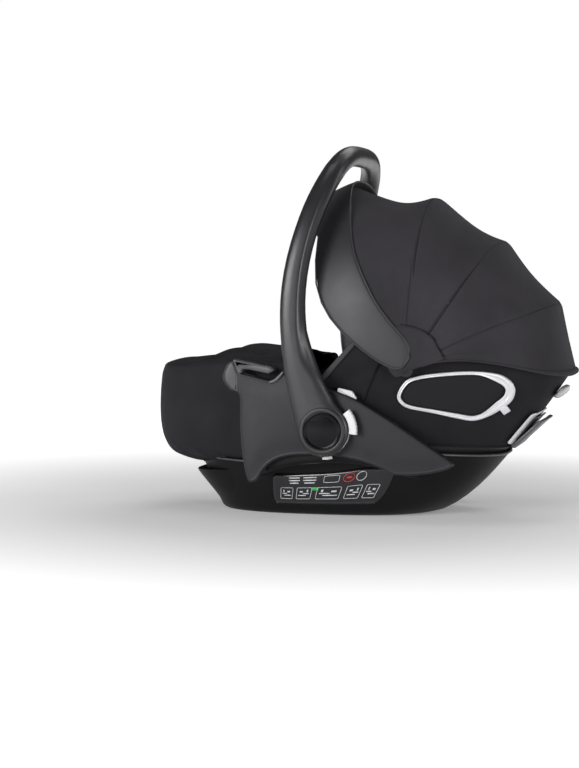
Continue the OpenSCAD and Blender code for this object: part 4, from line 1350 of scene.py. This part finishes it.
def muff_folds(v, s):
    """Soft folds: gathers over the elastic, a crease along the shoulder and slack across the top."""
    along = s * 9.4
    gather = 3.4 * math.sin(along * 5.3 + 1.6 * math.sin(along * 2.1)) * hump(v, 0.03, 0.13)
    belly = 2.0 * hump(v, 0.28, 0.22)
    crease = -0.5 * hump(v, 0.47 + 0.03 * math.sin(along * 1.3), 0.05)
    slack = 3.0 * math.sin(along * 1.15 + 5.5 * v) * hump(v, 0.8, 0.2)
    slack += 1.8 * math.sin(along * 2.4 - 9 * v + 1) * hump(v, 0.72, 0.25)
    valley = (1.5 * hump(abs(s), 0.55, 0.2) - 9.0 * hump(abs(s), 0.8, 0.14)) * hump(v, 0.3, 0.3)
    return gather + belly + crease + slack + valley


def foot_cover():
    """The foot cover: wadded, gathered onto elastic below and hemmed at its mouth."""
    vs = [0, 0.01, 0.025, 0.045] + steps(0.07, 0.44, 17) + steps(0.455, 0.5, 4) + steps(0.52, 1, 24)[1:]
    ss = steps(-1, 1, 130)
    rows = [[muff_point(v, s, muff_folds(v, s) - 1.5) for s in ss] for v in vs]
    obj = skin("foot_cover_cloth", rows, 4.2, core=(-150, 0, 150))
    fit(obj, "seat", MUFF, "canopy_fabric", "foot_cover")
    elastic = [muff_point(0.0, s, muff_folds(0, s) - 3.0) for s in ss]
    cord("foot_cover_elastic", elastic, lambda t: 2.5 + 0.5 * math.sin(t * 170))
    mouth = [muff_point(1.0, s, muff_folds(1, s) - 3.4) for s in ss]
    cord("foot_cover_hem", mouth, 3.0, sides=10)


# ---------------------------------------------------------------- harness
STRAP_LEVELS = [0.22, 0.26, 0.3, 0.34, 0.38, 0.42, 0.46]


def seat_line(t, off):
    x, _, z = seat_point(t, -off, 0)
    return (x, z)


def strap(name, line, ys, width, thick, side="left"):
    """A flat webbing strap through [x, z] points, with its stitched edges a little thinner."""
    pts = curve([(p[0], y, p[1]) for p, y in zip(line, ys)], 5, False)
    section = [(-1, 0.2), (-0.96, 0.9), (-0.8, 1), (0.8, 1), (0.96, 0.9), (1, 0.2), (0.96, -0.9),
               (-0.96, -0.9)]
    wide = np.array((0, 1, 0)) * width / 2
    rings = []
    for i, p in enumerate(pts):
        d = pts[min(i + 1, len(pts) - 1)] - pts[max(i - 1, 0)]
        up = unit(np.cross(d, (0, 1, 0)))
        up = up if up[2] > 0 else -up
        rings.append([tuple(p + wide * a + up * thick / 2 * b) for a, b in section])
    return loft(name, rings, side, crisp=60)


def harness(side):
    line = [(34, 126.6), (62, 132)] + [seat_line(t, 26) for t in STRAP_LEVELS] + [seat_line(0.54, 26)]
    ys = [-mix(14, 48, i / (len(line) - 1)) for i in range(len(line))]
    obj = strap(f"shoulder_webbing_{side}", line, ys, 27, 1.5, side)
    return fit(obj, "seat", WEBBING, "webbing", f"shoulder_strap_{side}")


def shoulder_pad(side):
    """A quilted pad wrapped round a shoulder strap."""
    rings = []
    for i, t in enumerate(steps(0.22, 0.46, 28)):
        x, z = seat_line(t, 29)
        ahead = seat_line(t + 0.01, 29)
        d = unit(np.array([ahead[0] - x, 0, ahead[1] - z]))
        up = np.array([-d[2], 0, d[0]])
        y = -mix(30, 45, i / 28)
        end = math.sqrt(max(0.0, 1 - (abs(2 * i / 28 - 1)) ** 14))
        quilt = 1 - 0.16 * max(hump(i / 28, q, 0.04) for q in (0.2, 0.4, 0.6, 0.8))
        ring = []
        for k in range(20):
            q = 2 * math.pi * k / 20
            wide = 19 * spow(math.cos(q), 0.55) * (0.86 + 0.14 * end)
            deep = 4.0 * spow(math.sin(q), 0.8) * quilt * (0.25 + 0.75 * end)
            ring.append(tuple(np.array([x, y, z]) + up * (3.5 + deep) + np.array([0, wide, 0])))
        rings.append(ring)
    obj = subdivide(loft(f"shoulder_pad_{side}", rings, side))
    return fit(obj, "seat", INSERT, "insert_fabric", "shoulder_pads")


def crotch_strap():
    line = [(-37.5, 79.5), (-33, 92), (-25, 105), (-21.5, 117.5)]
    obj = strap("crotch_webbing", line, [0, 0, 0, 0], 36, 2.4)
    fit(obj, "seat", WEBBING, "webbing", "crotch_strap")


# ---------------------------------------------------------------- side vents
# The vent's outline in the side view, its middle, and how far outside the shell it lies
VENT = [(108, 197), (116, 214), (131, 226), (166, 233), (221, 237), (262, 233), (280, 223), (287, 209),
        (284, 194), (274, 182), (249, 166), (224, 158), (199, 162), (164, 170), (127, 177), (113, 185)]
VENT_MID = np.array([196, 199])
ON_COVER = 4.9


def on_side(q, off):
    return (q[0], -side_y(q[0], q[1], off), q[1])


def vent_outline():
    """The vent's outer edge, and how wide its frame is at each point."""
    outline = np.array([tuple(p) for p in curve(VENT, 7)])
    wide = []
    for x, z in outline:
        head = ease((x - 232) / 40)
        wide.append([5.8 + 8.2 * head + 2.4 * ease((188 - z) / 20) * ease((x - 150) / 60) * (1 - head)])
    return outline, np.array(wide)


def vent_ring(side):
    """The silver frame: a rounded bead that widens into a double lip at its head end."""
    outline, wide = vent_outline()
    section = [(0, 0.0), (0.0, 0.5), (0.06, 0.82), (0.2, 1.0), (0.4, 1.0), (0.5, 0.86), (0.56, 0.62),
               (0.62, 0.6), (0.8, 0.66), (0.9, 0.72), (0.97, 0.6), (1.0, 0.35), (1.0, 0.0)]
    rings = [[on_side(p, ON_COVER + 5.6 * h) for p in inset(outline, wide * d)] for d, h in section]
    rings = [list(ring) for ring in zip(*rings)]
    obj = loft(f"vent_ring_{side}", rings, side, loop=True, crisp=60)
    fit(obj, "seat", SILVER, "silver_plastic", f"vent_frame_{side}")


def vent_screen(side):
    """Spacer mesh stretched a little behind the frame, with a dark gasket round it."""
    outline, wide = vent_outline()
    inner = inset(outline, wide - 1.0)
    rows = []
    for k in steps(0, 1, 10):
        rows.append([on_side(VENT_MID + (p - VENT_MID) * k, ON_COVER + 1.6 - 0.9 * (1 - k * k))
                     for p in list(inner) + [inner[0]]])
    obj = skin(f"vent_screen_{side}", rows, 0.8, side, levels=0)
    lay_out(obj, "stretched", f"vent_ring_{side}")
    fit(obj, "seat", MESH, "vent_mesh", f"vent_grille_{side}")
    gasket = [on_side(p, ON_COVER + 2.0) for p in inset(outline, wide + 0.9)]
    cord(f"vent_gasket_{side}", gasket, 1.2, "black_fabric", side, loop=True)


def vent_tab(side):
    """The little slider that opens the vent's shutter."""
    along = np.array([-25.0, -16.0]) / math.hypot(25, 16)
    across = np.array([along[1], -along[0]])

    def spot(u, v, off):
        return on_side(np.array([274.0, 181.0]) + along * u - across * v, off)

    corners = rounded([(0, -2.6), (12, -2.6), (12, 9.6), (0, 9.6)], 1.6)
    low, high = ON_COVER + 1.0, ON_COVER + 6.4
    rings = []
    for shrink, off in ((0.4, low), (0, low + 0.8), (0, high - 0.9), (0.5, high - 0.2), (1.4, high)):
        rings.append([spot(*q, off) for q in inset(corners, shrink)])
    obj = loft(f"vent_slider_{side}", rings, side)
    return fit(obj, f"vent_{side}", SILVER, "silver_plastic", f"vent_tab_{side}")


# ---------------------------------------------------------------- back of the head end
def back_point(z, a, off):
    t = (z - FLOOR_Z) / (rim_z(350) - FLOOR_Z)
    return shell_point(t, off, a)


def back_plate(name, z0, z1, a, off0, off1, thick, look, slot, body, *nodes, bulge=0.0, corner=5.0):
    """A curved plate on the back with rounded corners and edges."""
    outline = rounded([(-a, z0), (a, z0), (a * 0.92, z1), (-a * 0.92, z1)], corner)
    rings = []
    for shrink, share in ((1.2, 0), (0.2, 0.12), (0, 0.3), (0, 0.7), (0.3, 0.88), (1.3, 1), (3.2, 1.03)):
        ring = []
        for q in inset(outline, shrink):
            v = (q[1] - z0) / (z1 - z0)
            off = mix(off0, off1, v) + thick * share + bulge * hump(v, 0.5, 0.6)
            ring.append(back_point(q[1], q[0], off))
        rings.append(ring)
    return fit(loft(name, rings, crisp=55), body, look, slot, *nodes)


def back_parts():
    """The release lever, its silver surround and the hook for the shoulder belt."""
    back_plate("rear_surround", 114, 165, 22, 6.2, 8.2, 2.4, SILVER, "silver_plastic", "seat", "rear_frame")
    back_plate("rear_surround_inlay", 120, 159, 18, 8.0, 10.0, 1.2, GUIDE, "black_fabric", "seat")
    back_plate("release_lever_blade", 189, 209, 9, 5, 6.5, 8, LEVER, "light_grey_plastic", "rear_lever",
               "rear_release_lever", bulge=4.0, corner=7.0)
    back_plate("belt_hook_blade", 109, 159, 17, 7.4, 17.5, 4.4, GUIDE, "shell_plastic", "seat",
               "rear_belt_hook")
    back_plate("belt_hook_root", 111, 123, 16.4, ON_COVER, 8.2, 5.0, GUIDE, "shell_plastic", "seat",
               corner=3.0)


# ---------------------------------------------------------------- buckle and adjuster
def box_piece(name, centre, size, round_by, look, slot, body, *nodes, tilt=0.0, dish=0.0, crown=0.0):
    """A block with a rounded outline, rounded edges and a crowned or dished top, tilted about Y."""
    lx, ly, lz = (v / 2 for v in size)
    outline = rounded([(-lx, -ly), (lx, -ly), (lx, ly), (-lx, ly)], round_by, 5)
    edge = min(round_by * 0.5, lz * 0.45)
    levels = [(edge, -lz), (edge * 0.3, -lz + edge * 0.4), (0, -lz + edge), (0, lz - edge),
              (edge * 0.3, lz - edge * 0.4), (edge, lz), (min(lx, ly) * 0.55, lz + crown - dish),
              (min(lx, ly) * 0.85, lz + crown * 1.2 - dish * 1.3)]
    c, s = math.cos(math.radians(tilt)), math.sin(math.radians(tilt))
    rings = []
    for shrink, z in levels:
        rings.append([(centre[0] + x * c + z * s, centre[1] + y, centre[2] - x * s + z * c)
                      for x, y in inset(outline, shrink)])
    return fit(loft(name, rings, crisp=55), body, look, slot, *nodes)


def black_box(name, centre, size, round_by, *nodes, **bend):
    """A block of the buckle's or the adjuster's black housing."""
    return box_piece(name, centre, size, round_by, HUB, "gloss_black", "seat", *nodes, **bend)


def buckle():
    """The harness buckle: a housing with a rounded well, the red button in it and two steel tongues."""
    black_box("buckle_case", (-15, 0, 124), (46, 50, 12), 7, "buckle_body")
    for n, x in enumerate((-35.5, 5.2)):
        black_box(f"buckle_wall_x{n}", (x, 0, 130.5), (5, 44, 7), 2)
    for n, y in enumerate((-19.5, 19.5)):
        black_box(f"buckle_wall_y{n}", (-15, y, 130.5), (42, 9.5, 7), 2.5)
    box_piece("buckle_red_button", (-22, 0, 135.3), (21.2, 27.2, 2.4), 3, RED, "red_plastic", "buckle_press",
              "buckle_button", dish=1.0)
    black_box("buckle_shield", (-3.6, 0, 131.5), (12.5, 28, 5), 2, crown=0.6)
    for n, y in enumerate((-13, 13)):
        box_piece(f"buckle_tongue_{n}", (23.4, y, 124.2), (30, 20, 2.4), 3, STEEL, "steel", "seat",
                  "buckle_tongues")
        black_box(f"buckle_tongue_grip_{n}", (30, y, 125.8), (12, 21, 4.2), 2, crown=0.5)


def adjuster():
    """The strap adjuster on the seat's front slope, with its button and its pull strap."""
    slope = 34
    c, s = math.cos(math.radians(slope)), math.sin(math.radians(slope))
    root = (-104 + 2 * s, 0, 113.3 + 2 * c)

    def at(x, z):
        return (root[0] + x * c + z * s, 0, root[2] - x * s + z * c)

    black_box("adjuster_case", at(0, 3.2), (30, 52, 6.4), 6, "adjuster_housing", tilt=slope)
    for n, x in enumerate((-12, 12)):
        black_box(f"adjuster_wall_x{n}", at(x, 7.4), (5.6, 50, 5), 2, tilt=slope)
    spot = at(0, 7.4)
    for n, y in enumerate((-20.5, 20.5)):
        black_box(f"adjuster_wall_y{n}", (spot[0], y, spot[2]), (26, 11, 5), 2.4, tilt=slope)
    box_piece("adjuster_push", at(0, 10.35), (17.2, 27.2, 2.5), 3, LEVER, "grey_plastic", "adjuster_press",
              "adjuster_button", tilt=slope, dish=0.8)
    line = [at(-72, 1.3), at(-52, 1.5), at(-34, 1.5), at(-15.2, 1.3)]
    obj = strap("adjuster_webbing", [(p[0], p[2]) for p in line], [0] * 4, 24, 1.7)
    fit(obj, "seat", WEBBING, "webbing", "adjuster_strap")


# ---------------------------------------------------------------- hub buttons
def release_button(side):
    """The white button in the hub's rim, ribbed for the thumb."""
    rings = []
    for shrink, y in ((1.0, HUB_OUT - 16.6), (0.2, HUB_OUT - 15.8), (0, HUB_OUT - 14.6), (0, HUB_OUT - 7.4),
                      (0.5, HUB_OUT - 6.2), (1.6, HUB_OUT - 5.7)):
        low, high = -5.6 + shrink * 1.2, 39.6 - shrink * 1.2
        edges = [(53.6 - shrink + 0.35 * math.sin(math.radians(k) * 56), k) for k in steps(low, high, 24)]
        edges += [(41.6 + shrink, k) for k in steps(high, low, 24)]
        rings.append([(r * math.cos(math.radians(k)), -y, HUB_Z + r * math.sin(math.radians(k)))
                      for r, k in edges])
    obj = loft(f"release_thumb_{side}", rings, side, crisp=50)
    return fit(obj, f"release_{side}", WHITE, "white_plastic", f"release_button_{side}")


def memory_button(side):
    outline = rounded([(16, 193), (17, 210), (40, 205), (47, 194), (47, 188.5)], 3)
    levels = [(0.8, WING_IN - 8.4), (0, WING_IN - 7.4), (0, WING_IN - 1.6), (0.8, WING_IN - 0.7),
              (2.2, WING_IN - 0.6)]
    obj = plate(f"memory_thumb_{side}", outline, levels, side)
    return fit(obj, f"memory_{side}", WHITE, "white_plastic", f"memory_button_{side}")

# (material, record's slot, rounding of the edges, CAD nodes) of the nodes that show as they are
KEPT = [
    (FOAM, "foam", 0, ["foam_core"]),
    (STEEL, "steel", 0, ["pivot_pins", "base_screws", "lock_springs", "adapter_latches"]),
    (HUB, "grey_plastic", 0.4, ["canopy_bow_3", "canopy_bow_2", "canopy_bow_1", "canopy_front_bow",
                                "canopy_pins"]),
    (WHITE, "white_plastic", 0, ["lock_ring_left", "lock_ring_right"]),
]


# ---------------------------------------------------------------- floor, light and camera
def ground():
    mesh = bpy.data.meshes.new("floor")
    size = 14
    corners = [(-size, -size, 0), (size, -size, 0), (size, size, 0), (-size, size, 0)]
    mesh.from_pydata(corners, [], [(0, 1, 2, 3)])
    floor = link("floor", mesh)
    mat, tree, main, at = shader("floor_paint", (0.88, 0.88, 0.88), 0.8)
    noise = node(tree, "ShaderNodeTexNoise", {"Vector": at, "Scale": 40.0, "Detail": 3.0})
    raise_by(tree, main, noise.outputs["Fac"], 0.0003, 0.1)
    away = node(tree, "ShaderNodeVectorMath", {0: at}, operation="LENGTH")
    span = {"Value": away.outputs["Value"], "From Min": 0.3, "From Max": 1.6, "To Min": 0.2, "To Max": 0.95}
    fade = node(tree, "ShaderNodeMapRange", span, interpolation_type="SMOOTHSTEP")
    main.inputs["Emission Color"].default_value = (1, 1, 1, 1)
    tree.links.new(fade.outputs["Result"], main.inputs["Emission Strength"])
    mesh.materials.append(mat)


def soft_box(name, spot, target, size, power, colour=(1, 1, 1)):
    light = bpy.data.lights.new(name, "AREA")
    light.shape = "RECTANGLE"
    light.size, light.size_y = size
    light.energy = power
    light.color = colour
    obj = link(name, light)
    obj.location = spot
    obj.rotation_mode = "QUATERNION"
    obj.rotation_quaternion = (Vector(target) - Vector(spot)).to_track_quat("-Z", "Y")


def studio():
    """A white ground to the picture, a dim even light from all round, and soft boxes about the seat."""
    bpy.context.scene.view_settings.view_transform = "Standard"
    world = bpy.data.worlds.new("studio")
    bpy.context.scene.world = world
    world.use_nodes = True
    tree = world.node_tree
    back = tree.nodes["Background"]
    seen = node(tree, "ShaderNodeLightPath")
    glow = node(tree, "ShaderNodeMapRange",
                {"Value": seen.outputs["Is Camera Ray"], "To Min": 0.085, "To Max": 1.0})
    tree.links.new(glow.outputs["Result"], back.inputs["Strength"])
    back.inputs["Color"].default_value = (1, 1, 1, 1)
    centre = (0, 0, 0.25)
    soft_box("key_light", (-1.5, -3.0, 0.95), centre, (1.3, 1.1), 62)
    soft_box("fill_light", (2.2, -2.6, 0.6), centre, (1.0, 1.0), 30)
    soft_box("top_light", (0.1, -0.2, 2.3), centre, (1.2, 0.8), 5)
    soft_box("rim_light", (0.5, 1.6, 2.1), centre, (1.8, 0.9), 12)
    soft_box("edge_light", (2.3, 0.9, 0.9), centre, (0.4, 1.6), 7)


def photographer():
    """The camera, low on the infant's left and a little towards the head end."""
    data = bpy.data.cameras.new("camera")
    camera = link("camera", data)
    data.lens = 96.77
    data.sensor_width = 36
    camera.location = (0.6973, -3.3288, 0.4128)
    camera.rotation_mode = "QUATERNION"
    camera.rotation_quaternion = Vector((-0.2415, 0.9685, -0.0611)).to_track_quat("-Z", "Y")
    bpy.context.scene.camera = camera


# ---------------------------------------------------------------- everything, in order
def dress_cad_nodes():
    """Materials, and rounded edges, for the CAD nodes that show as they are."""
    for look, slot, edge, names in KEPT:
        for name in names:
            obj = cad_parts[name]
            obj.data.materials.clear()
            obj.data.materials.append(look)
            if edge:
                soften(obj, edge)
            obj.data.set_sharp_from_angle(angle=math.radians(45))


for panel_name, bow, body_a, body_b in PANELS:
    canopy_panel(panel_name, bow)
canopy_hem()
for bow in (3, 2, 1):
    bow_sleeve(bow, f"bow_{bow}")
for make in (visor, grip, shell, rocker_base, base_ribs, head_cover, rim_binding, base_lip, foot_cover,
             seat_pad, newborn_insert, head_support, crotch_strap, buckle, adjuster, back_parts):
    make()
for side in SIDES:
    for make in (pivot_patch, arm_outer, arm_inner, hub_trim, label, arch_trim, wing, belt_guide, cheek,
                 vent_ring, vent_screen, vent_tab, release_button, memory_button, harness, shoulder_pad):
        make(side)
dress_cad_nodes()
ground()
studio()
photographer()
